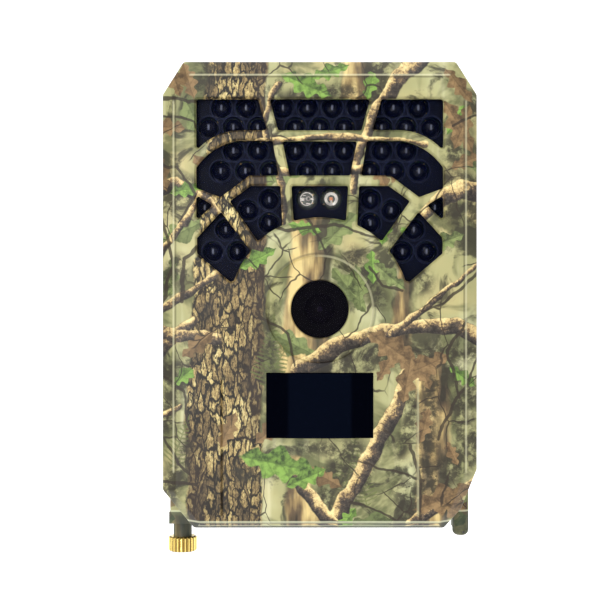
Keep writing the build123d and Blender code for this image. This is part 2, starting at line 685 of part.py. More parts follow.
def front_nodes():
    pir_z = (PIR_Z[0] + PIR_Z[1]) / 2
    sensor_dome = led(LED_TIP_Y, 2.65)
    nodes = {
        "front_shell": front_shell(),
        "ir_filter_panel": slab(panel_outline(), INSIDE_FACE_Y + 0.05, -38.2),
        "led_cup_plate": cup_plate(),
        "ir_leds": ir_leds(),
        "led_board": slab(panel_outline(0.6), *LED_BOARD_Y),
        "light_sensor": Pos(LIGHT_SENSOR_AT[0], 0, LIGHT_SENSOR_AT[1]) * sensor_dome,
        "status_led": Pos(STATUS_LED_AT[0], 0, STATUS_LED_AT[1]) * sensor_dome,
        "lens_window": rod(0, LENS_Z, LENS_OPENING_R - 0.1, -44.6, -43.3),
        "lens_seal": rod(0, LENS_Z, 8.2, -43.2, -42.0) - rod(0, LENS_Z, 7.3, -45, -40),
        "lens_barrel": lens_barrel(),
        "front_element": Pos(0, -36.0, LENS_Z) * Sphere(7) & rod(0, LENS_Z, 4.4, -43.5, -41.25),
        "lens_holder": lens_holder(),
        "ir_cut_shuttle": filter_shuttle(),
        "filter_glasses": Compound([rod(x, LENS_Z, 2.6, -30.0, -29.6) for x in (0, -6.5)]),
        "shuttle_coil": block(-8, 8, -33.4, -28.2, LENS_Z - 15.5, LENS_Z - 9.2),
        "image_sensor": block(-4, 4, -28.7, -27.65, LENS_Z - 3.5, LENS_Z + 3.5),
        "sensor_board": slab(pane(-13, 13, LENS_Z - 12, LENS_Z + 12), -27.6, -26.3),
        "pir_lens": pir_lens(),
        "pir_cone": pir_cone(),
        "pir_sensor": pir_sensor(),
        "pir_board": slab(pane(-12, 12, pir_z - 10, pir_z + 9), -28.9, -27.4),
        "microphone": post(-12, -30, 3.0, 2.5, 5.0),
        "main_board": main_board(),
        "board_headers": board_headers(),
        "key_switches": key_switches(),
        "power_switch": block(-33.0, -19.0, -22.9, -21.1, 77.6, 83.4),
        "display_module": slab(pane(*SCREEN_X, *SCREEN_Z), -22.9, -20.3),
        "display_glass": slab(pane(SCREEN_X[0] + 3, SCREEN_X[1] - 3, SCREEN_Z[0] + 3, SCREEN_Z[1] - 3),
                              -20.25, -19.2),
        "inner_panel": inner_panel(),
        "power_slider": power_slider(),
        "card_slot": card_slot(),
        "memory_card": memory_card(),
        "usb_socket": usb_socket(),
        "battery_box": battery_box(),
        "battery_cells": battery_cells(),
        "contact_plates": contact_plates(),
        "contact_springs": contact_springs(),
        "board_screws": screws(BOARD_POSTS, MAIN_BOARD_Y[1] + 0.02, 1.9, 1.2, SCREW_R, 8),
        "panel_screws": screws(PANEL_POSTS, PANEL_Y[1] + 0.02, 1.8, 0.9, SCREW_R, 5),
    }
    for name, (x, z) in KEYS.items():
        nodes[name] = key(x, z)
    return nodes


def filter_shuttle():
    plate = block(-10.4, 3.9, -30.3, -29.4, LENS_Z - 4.1, LENS_Z + 4.1)
    for x in (0, -6.5):
        plate -= rod(x, LENS_Z, 2.62, -40, -20)
    return plate


def rear_nodes():
    return {
        "rear_shell": rear_shell(),
        "housing_seal": seal_ring(0.7, 1.7, PARTING_Y + 0.02, PARTING_Y + PARTING_GAP + 0.98),
        "tripod_insert": tripod_insert(),
        "hinge_pin": post(HINGE_X, PARTING_Y, PIN_R, BARREL_BOTTOM_Z, PIN_TOP_Z),
        "hinge_cap": hinge_cap(),
        "clamp_stud": post(STUD_X, STUD_Y, STUD_R, NUT_Z[0] + 0.6, STUD_TOP_Z),
        "clamp_sleeve": post(STUD_X, STUD_Y, SLEEVE_R, *SLEEVE_Z)
        - post(STUD_X, STUD_Y, STUD_R + PIN_CLEARANCE, -20, 0),
        "thumb_nut": thumb_nut(),
        "tree_bracket": tree_bracket(),
        "bark_pads": bark_pads(),
        "bracket_screws": screws(BRACKET_SCREWS, BACK_Y + 2.42, 3.0, 1.6, 1.25, 6.5),
    }


def tripod_insert():
    insert = post(0, 0, INSERT_R, 0, INSERT_LENGTH)
    return insert - post(0, 0, SOCKET_R, -1, SOCKET_DEPTH)


def main():
    os.makedirs("parts", exist_ok=True)
    for name, shape in {**front_nodes(), **rear_nodes()}.items():
        export_step(shape, f"parts/{name}.step")


main()
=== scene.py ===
import json
import math
import random

import bmesh
import bpy
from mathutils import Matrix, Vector


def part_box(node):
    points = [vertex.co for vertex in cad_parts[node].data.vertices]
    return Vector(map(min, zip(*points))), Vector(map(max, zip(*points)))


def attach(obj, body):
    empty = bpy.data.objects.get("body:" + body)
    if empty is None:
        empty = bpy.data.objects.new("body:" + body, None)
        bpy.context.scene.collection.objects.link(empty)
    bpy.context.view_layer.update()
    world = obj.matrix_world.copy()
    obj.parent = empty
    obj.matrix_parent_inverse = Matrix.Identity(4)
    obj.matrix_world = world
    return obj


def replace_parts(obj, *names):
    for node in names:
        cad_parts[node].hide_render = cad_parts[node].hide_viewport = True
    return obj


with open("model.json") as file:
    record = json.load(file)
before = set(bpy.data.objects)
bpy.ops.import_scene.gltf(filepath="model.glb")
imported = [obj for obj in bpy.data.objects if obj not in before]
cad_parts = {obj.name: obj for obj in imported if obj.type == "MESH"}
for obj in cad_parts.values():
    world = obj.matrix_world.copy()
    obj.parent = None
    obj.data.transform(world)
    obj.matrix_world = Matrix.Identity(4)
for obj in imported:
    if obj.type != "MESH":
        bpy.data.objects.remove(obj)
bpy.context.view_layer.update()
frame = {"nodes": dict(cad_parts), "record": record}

MM = 0.001
NODES = frame["nodes"]
SLOT_OF = {part["node"]: part["material_slot"] for part in frame["record"]["subparts"]}
NODES_IN = {}
for node_name, slot_name in SLOT_OF.items():
    NODES_IN.setdefault(slot_name, []).append(node_name)


def middle(box):
    return [(low + high) / 2 for low, high in zip(*box)]


# ------------------------------------------------------------------ camera, lights and floor

OUTLINE_Y = -0.0383       # edge of the front bevel
VIEW_DISTANCE = 0.402     # from the edge of the front bevel
VIEW_WIDTH = 0.174        # seen across at that distance
VIEW_HEIGHT = 0.0661
VIEW_SHIFT = -0.033
SENSOR = 36.0
LIT_POINT = (0, 0, 0.066)
WORLD_STRENGTH = 0.6


def make_camera():
    data = bpy.data.cameras.new("camera")
    data.sensor_width = SENSOR
    data.lens = SENSOR * VIEW_DISTANCE / VIEW_WIDTH
    data.shift_x = VIEW_SHIFT
    data.clip_start = 0.01
    camera = bpy.data.objects.new("camera", data)
    camera.location = (0, OUTLINE_Y - VIEW_DISTANCE, VIEW_HEIGHT)
    camera.rotation_euler = (math.pi / 2, 0, 0)
    bpy.context.collection.objects.link(camera)
    bpy.context.scene.camera = camera
    bpy.context.scene.view_settings.view_transform = "Standard"


def area_light(name, place, target, size, power, size_y=None):
    data = bpy.data.lights.new(name, "AREA")
    data.energy = power
    data.shape = "RECTANGLE"
    data.size = size
    data.size_y = size_y or size
    light = bpy.data.objects.new(name, data)
    light.location = place
    aim = Vector(target) - Vector(place)
    light.rotation_euler = aim.to_track_quat("-Z", "Y").to_euler()
    bpy.context.collection.objects.link(light)


def make_light():
    world = bpy.data.worlds.new("studio")
    world.use_nodes = True
    background = world.node_tree.nodes["Background"]
    background.inputs["Color"].default_value = (1, 1, 1, 1)
    background.inputs["Strength"].default_value = WORLD_STRENGTH
    bpy.context.scene.world = world
    area_light("key", (-0.35, -0.7, 0.8), LIT_POINT, 0.4, 3.6)
    area_light("fill", (0.75, -0.75, 0.3), LIT_POINT, 0.6, 1.8)
    area_light("strip", (-0.24, -0.9, 0.1), LIT_POINT, 0.24, 4.2, 0.55)
    area_light("rear", (0.2, 0.9, 0.7), LIT_POINT, 0.6, 5.0)
    area_light("back", (0.0, 0.5, 1.3), (0, 1.4, 0.3), 1.2, 24.0)


def make_floor():
    """Pale floor that curves up into a backdrop."""
    bm = bmesh.new()
    across, near, far, low, high = 3.0, -2.0, 1.6, -0.10, 2.4
    bend, steps = 0.5, 12
    profile = [(near, low), (far - bend, low)]
    for step in range(1, steps):
        angle = math.pi / 2 * step / steps
        profile.append((far - bend + bend * math.sin(angle), low + bend - bend * math.cos(angle)))
    profile.append((far, low + bend))
    profile.append((far, high))
    rows = [[bm.verts.new((side * across, y, z)) for side in (-1, 1)] for y, z in profile]
    for first, second in zip(rows, rows[1:]):
        bm.faces.new((first[0], first[1], second[1], second[0]))
    mesh = bpy.data.meshes.new("floor")
    bm.to_mesh(mesh)
    floor = bpy.data.objects.new("floor", mesh)
    for face in mesh.polygons:
        face.use_smooth = True
    bpy.context.collection.objects.link(floor)
    material = bpy.data.materials.new("pale_floor")
    material.use_nodes = True
    shader = material.node_tree.nodes["Principled BSDF"]
    shader.inputs["Base Color"].default_value = (0.9, 0.9, 0.9, 1)
    shader.inputs["Roughness"].default_value = 0.8
    mesh.materials.append(material)


# ------------------------------------------------------------------ shader arithmetic

class Field:
    """A number or a vector worked out at each point of a surface."""

    def __init__(self, graph, socket):
        self.graph = graph
        self.socket = socket

    def step(self, low, high):
        """0 below low, 1 above high, smooth between. low may be above high."""
        return self.graph.smooth_step(self, low, high)


def forward(operation):
    return lambda self, *others: self.graph.math(operation, self, *others)


def reversed_order(operation):
    return lambda self, other: self.graph.math(operation, other, self)


for method, operation in {
    "__add__": "ADD", "__sub__": "SUBTRACT", "__mul__": "MULTIPLY", "__truediv__": "DIVIDE",
    "times_plus": "MULTIPLY_ADD", "abs": "ABSOLUTE", "sign": "SIGN", "sin": "SINE", "max": "MAXIMUM",
    "min": "MINIMUM",
}.items():
    setattr(Field, method, forward(operation))
for method, operation in {"__radd__": "ADD", "__rsub__": "SUBTRACT", "__rmul__": "MULTIPLY"}.items():
    setattr(Field, method, reversed_order(operation))


class Graph:
    """A node tree that is put together by arithmetic on fields."""

    def __init__(self, tree):
        self.nodes = tree.nodes
        self.links = tree.links

    def put(self, socket, value):
        if isinstance(value, Field):
            self.links.new(value.socket, socket)
        elif value is not None:
            if hasattr(value, "__len__") and len(value) == 3 and len(socket.default_value) == 4:
                value = (*value, 1.0)
            socket.default_value = value

    def math(self, operation, first, second=None, third=None):
        node = self.nodes.new("ShaderNodeMath")
        node.operation = operation
        for socket, value in zip(node.inputs, (first, second, third)):
            self.put(socket, value)
        return Field(self, node.outputs[0])

    def vector(self, operation, first, second=None, third=None, scale=None):
        node = self.nodes.new("ShaderNodeVectorMath")
        node.operation = operation
        for socket, value in zip(node.inputs, (first, second, third)):
            self.put(socket, value)
        if scale is not None:
            self.put(node.inputs["Scale"], scale)
        is_number = operation in ("DOT_PRODUCT", "LENGTH", "DISTANCE")
        return Field(self, node.outputs["Value" if is_number else "Vector"])

    def hypot(self, first, second):
        return self.math("SQRT", first * first + second * second)

    def smooth_step(self, value, low, high):
        node = self.nodes.new("ShaderNodeMapRange")
        node.interpolation_type = "SMOOTHSTEP"
        node.clamp = False
        self.put(node.inputs["Value"], value)
        self.put(node.inputs["From Min"], low)
        self.put(node.inputs["From Max"], high)
        return Field(self, node.outputs["Result"])

    def split(self, vector):
        node = self.nodes.new("ShaderNodeSeparateXYZ")
        self.put(node.inputs[0], vector)
        return [Field(self, node.outputs[index]) for index in range(3)]

    def channels(self, colour_socket):
        node = self.nodes.new("ShaderNodeSeparateColor")
        self.links.new(colour_socket, node.inputs[0])
        return [Field(self, node.outputs[index]) for index in range(3)]

    def join(self, x=0.0, y=0.0, z=0.0):
        node = self.nodes.new("ShaderNodeCombineXYZ")
        for socket, value in zip(node.inputs, (x, y, z)):
            self.put(socket, value)
        return Field(self, node.outputs[0])

    def mix(self, amount, first, second):
        """Colour or number between first and second."""
        node = self.nodes.new("ShaderNodeMix")
        node.data_type = "RGBA"
        self.put(node.inputs["Factor"], amount)
        self.put(node.inputs[6], first)
        self.put(node.inputs[7], second)
        return Field(self, node.outputs[2])

    def blend_number(self, amount, first, second):
        node = self.nodes.new("ShaderNodeMix")
        node.data_type = "FLOAT"
        self.put(node.inputs["Factor"], amount)
        self.put(node.inputs[2], first)
        self.put(node.inputs[3], second)
        return Field(self, node.outputs[0])

    def noise_outputs(self, vector, scale, detail=2.0, roughness=0.5, distortion=0.0):
        node = self.nodes.new("ShaderNodeTexNoise")
        self.put(node.inputs["Vector"], vector)
        self.put(node.inputs["Scale"], scale)
        self.put(node.inputs["Detail"], detail)
        self.put(node.inputs["Roughness"], roughness)
        self.put(node.inputs["Distortion"], distortion)
        return node.outputs

    def noise(self, *settings):
        return Field(self, self.noise_outputs(*settings)["Fac"])

    def noises(self, vector, scale, detail):
        """Three noises between about -0.5 and 0.5."""
        colour = self.noise_outputs(vector, scale, detail)["Color"]
        return [channel - 0.5 for channel in self.channels(colour)]

    def voronoi(self, vector, scale, feature="F1", randomness=1.0):
        node = self.nodes.new("ShaderNodeTexVoronoi")
        node.voronoi_dimensions = "2D"
        node.feature = feature
        self.put(node.inputs["Vector"], vector)
        self.put(node.inputs["Scale"], scale)
        self.put(node.inputs["Randomness"], randomness)
        return node

    def to_edge(self, vector, scale, randomness=1.0):
        """Distance to the nearest edge between two cells."""
        return Field(self, self.voronoi(vector, scale, "DISTANCE_TO_EDGE", randomness).outputs["Distance"])

    def ramp(self, value, *stops):
        node = self.nodes.new("ShaderNodeValToRGB")
        elements = node.color_ramp.elements
        while len(elements) < len(stops):
            elements.new(0.5)
        for element, (position, colour) in zip(elements, stops):
            element.position = position
            element.color = (*colour, 1.0)
        self.put(node.inputs[0], value)
        return Field(self, node.outputs[0])


class Surface(Graph):
    """The node tree of one material."""

    def __init__(self, name):
        self.material = bpy.data.materials.new(name)
        self.material.use_nodes = True
        super().__init__(self.material.node_tree)
        self.shader = self.nodes["Principled BSDF"]
        coordinates = self.nodes.new("ShaderNodeTexCoord").outputs
        self.place = Field(self, coordinates["Object"])
        self.normal = Field(self, coordinates["Normal"])

    def place_mm(self):
        return [axis * 1000.0 for axis in self.split(self.place)]

    def bump(self, height, strength, distance):
        node = self.nodes.new("ShaderNodeBump")
        self.put(node.inputs["Height"], height)
        node.inputs["Strength"].default_value = strength
        node.inputs["Distance"].default_value = distance
        self.links.new(node.outputs[0], self.shader.inputs["Normal"])

    def finish(self, **values):
        """Sets the shader's own sockets by name, with _ for a space."""
        for name, value in values.items():
            self.put(self.shader.inputs[name.replace("_", " ").title().replace("Ior", "IOR")], value)
        return self.material


class Stamp:
    """A node group that is used many times. Its sockets are numbers, or colours where named so."""

    def __init__(self, name, inputs, outputs, work):
        inputs, outputs = inputs.split(), outputs.split()
        self.tree = bpy.data.node_groups.new(name, "ShaderNodeTree")
        for names, direction in ((inputs, "INPUT"), (outputs, "OUTPUT")):
            for socket_name in names:
                kind = "NodeSocketColor" if "colour" in socket_name else "NodeSocketFloat"
                self.tree.interface.new_socket(socket_name, in_out=direction, socket_type=kind)
        graph = Graph(self.tree)
        enter, leave = graph.nodes.new("NodeGroupInput"), graph.nodes.new("NodeGroupOutput")
        results = work(graph, *[Field(graph, enter.outputs[socket_name]) for socket_name in inputs])
        for socket, value in zip(leave.inputs, results):
            graph.put(socket, value)

    def use(self, graph, *values):
        node = graph.nodes.new("ShaderNodeGroup")
        node.node_tree = self.tree
        for socket, value in zip(node.inputs, values):
            graph.put(socket, value)
        return [Field(graph, socket) for socket in node.outputs]


def srgb(red, green, blue):
    """Linear colour from everyday 0 to 255 values."""
    def linear(value):
        value /= 255
        return value / 12.92 if value <= 0.04045 else ((value + 0.055) / 1.055) ** 2.4
    return tuple(linear(value) for value in (red, green, blue))


# ------------------------------------------------------------------ woodland print

KHAKI = srgb(154, 152, 106)
PALE_KHAKI = srgb(186, 182, 144)
CREAM = srgb(228, 208, 148)
BROWN = srgb(74, 58, 40)
UMBER = srgb(58, 46, 38)
LEAF_GREEN = srgb(124, 158, 72)
DEEP_GREEN = srgb(48, 64, 32)
DRY_LEAF = srgb(138, 112, 76)

# Branches as chains of (u, v, half width) in millimetres on the unrolled surface.
FRONT_BRANCHES = (
    ((48, 185, 3.4), (33, 143, 3), (27, 134, 2.3), (17.5, 122.5, 2), (11.5, 110, 1.6), (9.5, 97, 1.1)),
    ((-6, 46, 2.4), (2, 51, 3), (14, 56, 2.4), (24, 58.5, 1.9), (39, 58, 2.2), (50, 54, 3)),
    ((21, 57, 1.2), (33, 66, 1), (48, 78, 0.7)),
    ((26, 48, 1.7), (24, 41, 1.9), (17, 26, 2.2), (5, 4, 2.4), (0, -6, 2.4)),
    ((-50, 50, 3), (-44, 55, 2.5), (-36, 60, 1.4)),
    ((-50, 31, 1.1), (-40, 36, 0.7)),
    ((-50, 99, 2.6), (-42, 99, 2.2), (-33, 95, 1.6), (-25, 86, 0.9)),
    ((-46, 80, 1), (-34, 95, 1.1), (-22, 104, 1.3), (0, 103.5, 1.2), (16, 104, 1.5), (30, 100, 1.2)),
    ((-39, 88, 1.2), (-29, 104, 1.1), (-17, 112, 0.9), (8, 113, 1.1), (30, 111, 1)),
    ((50, 97, 3.6), (41, 98, 3.2), (33, 94, 1.8), (25, 86, 1)),
    ((-12, 128, 0.9), (-16, 116, 1), (-11, 100, 1.2), (-10, 88, 0.8)),
    ((-11, 20, 1.6), (-5, 12, 1.9), (4, 1, 2.2)),
    ((26, 2, 1.8), (48, 16, 1.4)),
)
FRONT_SHADOWS = (
    ((-50, 97, 5.5), (-37, 97, 4.5)),
    ((50, 93, 6), (36, 92, 4)),
    ((3, 46, 3.6), (16, 50, 3.4), (44, 51, 3.2)),
    ((14, 20, 3), (2, 0, 4.5)),
    ((24, 12, 3), (26, 0, 4)),
    ((-14, 30, 2.2), (-15, 62, 1.8)),
    ((-50, 44, 3.6), (-40, 47, 2.6)),
    ((-12, 122, 3), (8, 126, 3)),
    ((10, 78, 3), (17, 66, 2.6)),
    ((44, 124, 3), (38, 108, 3.4)),
    ((-44, 8, 3.4), (-38, 24, 2.4)),
    ((40, 36, 3), (42, 22, 2.6)),
    ((-47, 99, 4.5), (-37, 97, 3.2)), ((36, 101, 2.4), (47, 99, 3.6)), ((-21, 17, 4.4), (-14, 19, 3.8)),
    ((29, 10, 4.4), (44, 24, 5)), ((1, 7, 3.2), (7, 22, 4.4)), ((-5, 23, 2.4), (11, 24, 2.8)),
    ((21, 86, 2.4), (30, 71, 3)), ((15, 124, 4.2), (19, 138, 4.6)), ((-34, 128, 3), (-30, 138, 4)),
    ((38, 46, 3), (44, 38, 3.6)),
    ((-45, 70, 3.6), (-40, 77, 2.6)), ((-45, 30, 3), (-42, 44, 3)), ((29, 6, 2.8), (33, 42, 3)),
    ((23, 22, 2.4), (27, 38, 3.2)), ((-44, 8, 3.4), (-41, 18, 2.8)),
)
FAR_TRUNKS = (
    ((32.5, -20, 4.8), (32.5, 46, 4.6)),
    ((12, 145, 4.4), (10, 122, 3.6)),
    ((25.5, 82, 2.6), (23, 52, 2.6)),
    ((-1.5, 93, 5.8), (-2.5, 76, 6), (-3.5, 60, 7.2), (-4.5, 46, 6.6)),
    ((-42, -12, 2.9), (-42, -1, 2.9)),
    ((-4, 2, 4.5), (-8, 18, 3.4)),
    ((70, -140, 5), (72, 260, 4)),
    ((-74, -140, 4), (-70, 260, 5)),
    ((118, -30, 5), (121, 90, 4)),
)
NEAR_TRUNKS = (
    ((-27, -30, 11), (-27.5, 34, 10.8), (-26, 72, 10.4), (-24, 100, 8.8), (-24, 260, 8.6)),
    ((92, -140, 8), (95, 60, 9), (90, 260, 8)),
    ((160, -140, 9), (158, 260, 8)),
    ((-104, -140, 9), (-101, 260, 9)),
)
BARK_STRETCH = 0.95
FRONT_TWIGS = (
    ((-50, 127, 0.5), (-38, 122, 0.45), (-30, 124, 0.3)),
    ((-50, 121, 0.3), (-36, 117, 0.35), (-33, 111, 0.3)),
    ((-50, 107, 0.45), (-41, 104, 0.4), (-36, 96, 0.4), (-41, 88, 0.3)),
    ((-22, 90, 0.45), (-10, 86, 0.5), (4, 88, 0.45), (16, 84, 0.3)),
    ((-6, 92, 0.35), (0, 85, 0.4), (2, 79, 0.3)),
    ((46, 74, 0.5), (36, 65, 0.45), (29, 63, 0.3)),
    ((14, 76, 0.4), (18, 70, 0.5), (24, 69, 0.35)),
    ((47, 50, 0.35), (38, 36, 0.5), (34, 26, 0.35)),
    ((42, 60, 0.4), (37, 52, 0.5), (40, 38, 0.4)),
    ((-45, 26, 0.4), (-38, 16, 0.5)),
    ((-48, 14, 0.5), (-36, 13, 0.4)),
    ((-45, 44, 0.35), (-39, 40, 0.4), (-37, 30, 0.3)),
    ((26, 24, 0.5), (29, 14, 0.55), (29, -6, 0.5)),
    ((12, 20, 0.3), (30, 14, 0.35)),
    ((9, 8, 0.35), (28, 1, 0.35)),
    ((-47, 62, 0.5), (-42, 76, 0.6), (-46, 90, 0.4)),
    ((-40, 66, 0.6), (-38, 78, 0.5), (-32, 86, 0.4)),
    ((-18, 62, 0.35), (-9, 56, 0.4), (-7, 47, 0.3)),
    ((38, 116, 0.4), (45, 120, 0.35)),
)
# Big leaves as (u, v, degrees turned, half length, kind).
FRONT_LEAVES = (
    (-12, 19, -12, 11.5, "green"),
    (-4, 15, 24, 6.5, "green"),
    (-4, 128, -24, 8, "green"),
    (3, 132, 20, 6, "green"),
    (-18, 78, 28, 6.2, "green"),
    (-38, 98, 12, 5.5, "green"),
    (11, 70, 96, 6.5, "olive"),
    (20, 73, -40, 6, "olive"),
    (36, 83, 20, 6, "olive"),
    (24, 50, -35, 7.5, "dry"),
    (19, 47, 60, 5, "dry"),
    (30, 45, -70, 5, "dry"),
    (35, 9, 12, 8, "dry"),
    (30, 30, 75, 5.5, "dry"),
    (40, 116, -60, 8.5, "dry"),
    (42, 106, 25, 5, "dry"),
    (-42, 130, -70, 6, "dry"),
    (38, 22, 115, 4, "dry"),
    (21, 52, -35, 9, "dry"),
    (30, 47, 25, 8, "dry"),
    (25, 43, 80, 7, "dry"),
    (36, 9, 20, 9.5, "dry"),
    (40, 5, -30, 7.5, "dry"),
    (40, 128, -50, 6.5, "dry"),
    (41, 116, 70, 7, "dry"),
)


def scattered_branches(seed, count, u_low, u_high):
    """Branches for the sides and the back of the case."""
    draw = random.Random(seed)
    chains = []
    for _ in range(count):
        u, v = draw.uniform(u_low, u_high), draw.uniform(-10, 140)
        angle = draw.choice((0.2, 0.5, 1.1, 1.9, 2.6)) + draw.uniform(-0.25, 0.25)
        width = draw.uniform(1.2, 4.2)
        chain = []
        for _ in range(3):
            chain.append((u, v, width))
            length = draw.uniform(14, 24)
            angle += draw.uniform(-0.35, 0.35)
            u += length * math.cos(angle)
            v += length * math.sin(angle)
            width *= draw.uniform(0.55, 0.9)
        chains.append(tuple(chain))
    return chains


def unrolled(graph):
    """Position on the case in millimetres, as if the print were one flat sheet laid round it."""
    x, y, z = graph.place_mm()
    normal_x, normal_y, normal_z = graph.split(graph.normal)
    depth = y - OUTLINE_Y * 1000
    on_side = normal_x.abs().step(0.78, 0.9)
    on_end = normal_z.abs().step(0.78, 0.9)
    on_back = normal_y.step(0.6, 0.62)
    u = x + x.sign() * on_side * depth
    u = graph.blend_number(on_back, u, 146.5 - x)
    v = z + (z - 60.0).sign() * on_end * depth
    return u, v


def stroke_work(
        graph, u, v, u1, v1, along_u, along_v, square, lit_u, lit_v, width, grow, soft, cover, across):
    """One tapered stroke laid over what is there: its cover, and where across it a point lies."""
    offset_u, offset_v = u - u1, v - v1
    dot = offset_u.times_plus(along_u, offset_v * along_v)
    reach = (dot / square).max(0.0).min(1.0)
    away_u = offset_u - reach * along_u
    away_v = offset_v - reach * along_v
    distance = graph.math("SQRT", away_u.times_plus(away_u, away_v * away_v))
    half = reach.times_plus(grow, width)
    inside = half - distance
    here = graph.smooth_step(inside, soft * -1.0, soft)
    side = away_u.times_plus(lit_u, away_v * lit_v) / half
    return cover.max(here), graph.blend_number(here, across, side)


class Strokes:
    """Tapered strokes laid over each other."""

    def __init__(self, graph, u, v):
        self.graph = graph
        self.u, self.v = u, v
        self.cover, self.across = 0.0, 0.0

    def add(self, start, end, soft):
        u1, v1, width1 = start
        u2, v2, width2 = end
        along = Vector((u2 - u1, v2 - v1))
        lit = Vector((-along.y, along.x)).normalized()
        if lit.y < 0 or (abs(lit.y) < 0.3 and lit.x > 0):
            lit = -lit
        self.cover, self.across = STAMPS["stroke"].use(
            self.graph, self.u, self.v, u1, v1, along.x, along.y, along.length_squared,
            lit.x, lit.y, width1, width2 - width1, soft, self.cover, self.across)

    def add_chain(self, chain, soft):
        for start, end in zip(chain, chain[1:]):
            self.add(start, end, soft)


def bark(graph, u, v):
    """Furrowed bark: plates split by dark cracks."""
    warp = graph.noises(graph.join(u * BARK_STRETCH, v * 0.4, 0.0), 0.45, 5.0)
    warped = graph.join(u * BARK_STRETCH + warp[0] * 4.4, v * 0.34 + warp[1] * 4.4, 0.0)
    edge = graph.to_edge(warped, 0.54)
    tone = graph.channels(graph.voronoi(warped, 0.54).outputs["Color"])[0]
    grain = graph.noise(graph.join(u * 1.5, v * 0.6, 3.0), 1.2, 6.0, 0.78)
    patch = graph.noise(graph.join(u * 0.6, v * 0.2, 9.0), 0.2, 3.0)
    shade = tone * 0.26 + grain * 1.0 + patch * 0.7 - 0.5
    colour = graph.ramp(
        shade, (0.16, srgb(46, 40, 30)), (0.36, srgb(96, 80, 54)), (0.5, srgb(146, 124, 80)),
        (0.62, srgb(192, 172, 114)), (0.8, srgb(232, 218, 160)),
    )
    depth = graph.noise(graph.join(u, v * 0.6, 12.0), 0.35, 3.0) * 0.42
    crack = edge.step(depth, depth * 0.3)
    fine = graph.noise(graph.join(u * 2.6, v * 0.9, 5.0), 0.8, 4.0, 0.65).step(0.47, 0.39)
    return graph.mix(crack.max(fine * 0.9), colour, srgb(30, 26, 20))


def background(graph, point, u, v):
    """Out-of-focus undergrowth behind the branches: soft upright streaks with darker hollows."""
    streaks = graph.noise(graph.join(u * 0.16, v * 0.016, 0.0), 1.0, 3.0, 0.55)
    colour = graph.ramp(
        streaks, (0.3, srgb(112, 114, 76)), (0.44, KHAKI), (0.56, KHAKI), (0.7, PALE_KHAKI),
    )
    glow = graph.noise(point, 0.035, 2.0).step(0.5, 0.68)
    colour = graph.mix(glow * 0.5, colour, srgb(196, 176, 122))
    light = graph.noise(graph.join(u, v + 50.0, 4.0), 0.05, 3.0).step(0.52, 0.7)
    colour = graph.mix(light * 0.65, colour, srgb(194, 194, 152))
    hollow = graph.noise(graph.join(u + 40.0, v + 7.0, 0.0), 0.06, 4.0, 0.6, 0.6).step(0.47, 0.6)
    colour = graph.mix(hollow * 0.85, colour, srgb(82, 86, 54))
    deep = graph.noise(graph.join(u + 11.0, v + 90.0, 0.0), 0.085, 5.0, 0.62, 0.8).step(0.51, 0.61)
    return graph.mix(deep * 0.9, colour, srgb(50, 48, 36))


def soft_trunks(graph, colour, point, u, v):
    """Blurred trunks further off."""
    strokes = Strokes(graph, u, v)
    for chain in FAR_TRUNKS:
        strokes.add_chain(chain, 0.9)
    tone = graph.noise(graph.vector("MULTIPLY", point, (0.25, 0.05, 0)), 1.0, 3.0)
    wood = graph.ramp(
        strokes.across * 0.2 + tone * 1.2 - 0.1, (0.34, srgb(40, 34, 28)), (0.46, srgb(96, 78, 56)),
        (0.56, srgb(150, 126, 82)), (0.7, srgb(214, 190, 128)),
    )
    return graph.mix(strokes.cover * 0.9, colour, wood)


def bark_trunks(graph, colour, point, u, v):
    """The near trunks, with real bark. The front one leans and widens downwards."""
    strokes = Strokes(graph, *point)
    for chain in NEAR_TRUNKS:
        strokes.add_chain(chain, 0.5)
    side_shade = (strokes.across * -1.0).step(0.2, 1.05)
    wood = graph.mix(side_shade * 0.6, bark(graph, u, v), UMBER)
    return graph.mix(strokes.cover, colour, wood)


def shadows(graph, colour, point):
    """Soft dark masses: the shade under the big branches and the thickets at the margins."""
    strokes = Strokes(graph, *point)
    for chain in FRONT_SHADOWS:
        strokes.add_chain(chain, 2.2)
    tangle = graph.noise(graph.join(*point), 0.3, 5.0, 0.7).step(0.36, 0.56)
    return graph.mix(strokes.cover * tangle * 0.92, colour, srgb(46, 42, 32))


def branch_layer(graph, colour, point, u, v):
    """Branches lit from above: pale and speckled on top, slate underneath."""
    strokes = Strokes(graph, *point)
    others = scattered_branches(5, 7, 54, 150) + scattered_branches(9, 4, -100, -56)
    for chain in FRONT_BRANCHES + tuple(others):
        strokes.add_chain(chain, 0.22)
    speck = graph.noise(graph.join(u, v, 2.0), 1.3, 5.0, 0.8)
    band = graph.noise(graph.join(u, v, 6.0), 0.22, 4.0, 0.65)
    lit = strokes.across * 0.24 + speck * 0.8 + band * 0.8 - 0.34
    wood = graph.ramp(
        lit, (0.24, srgb(36, 32, 30)), (0.4, srgb(70, 62, 54)), (0.5, srgb(110, 90, 66)),
        (0.58, srgb(186, 160, 108)), (0.76, CREAM),
    )
    return graph.mix(strokes.cover, colour, wood)


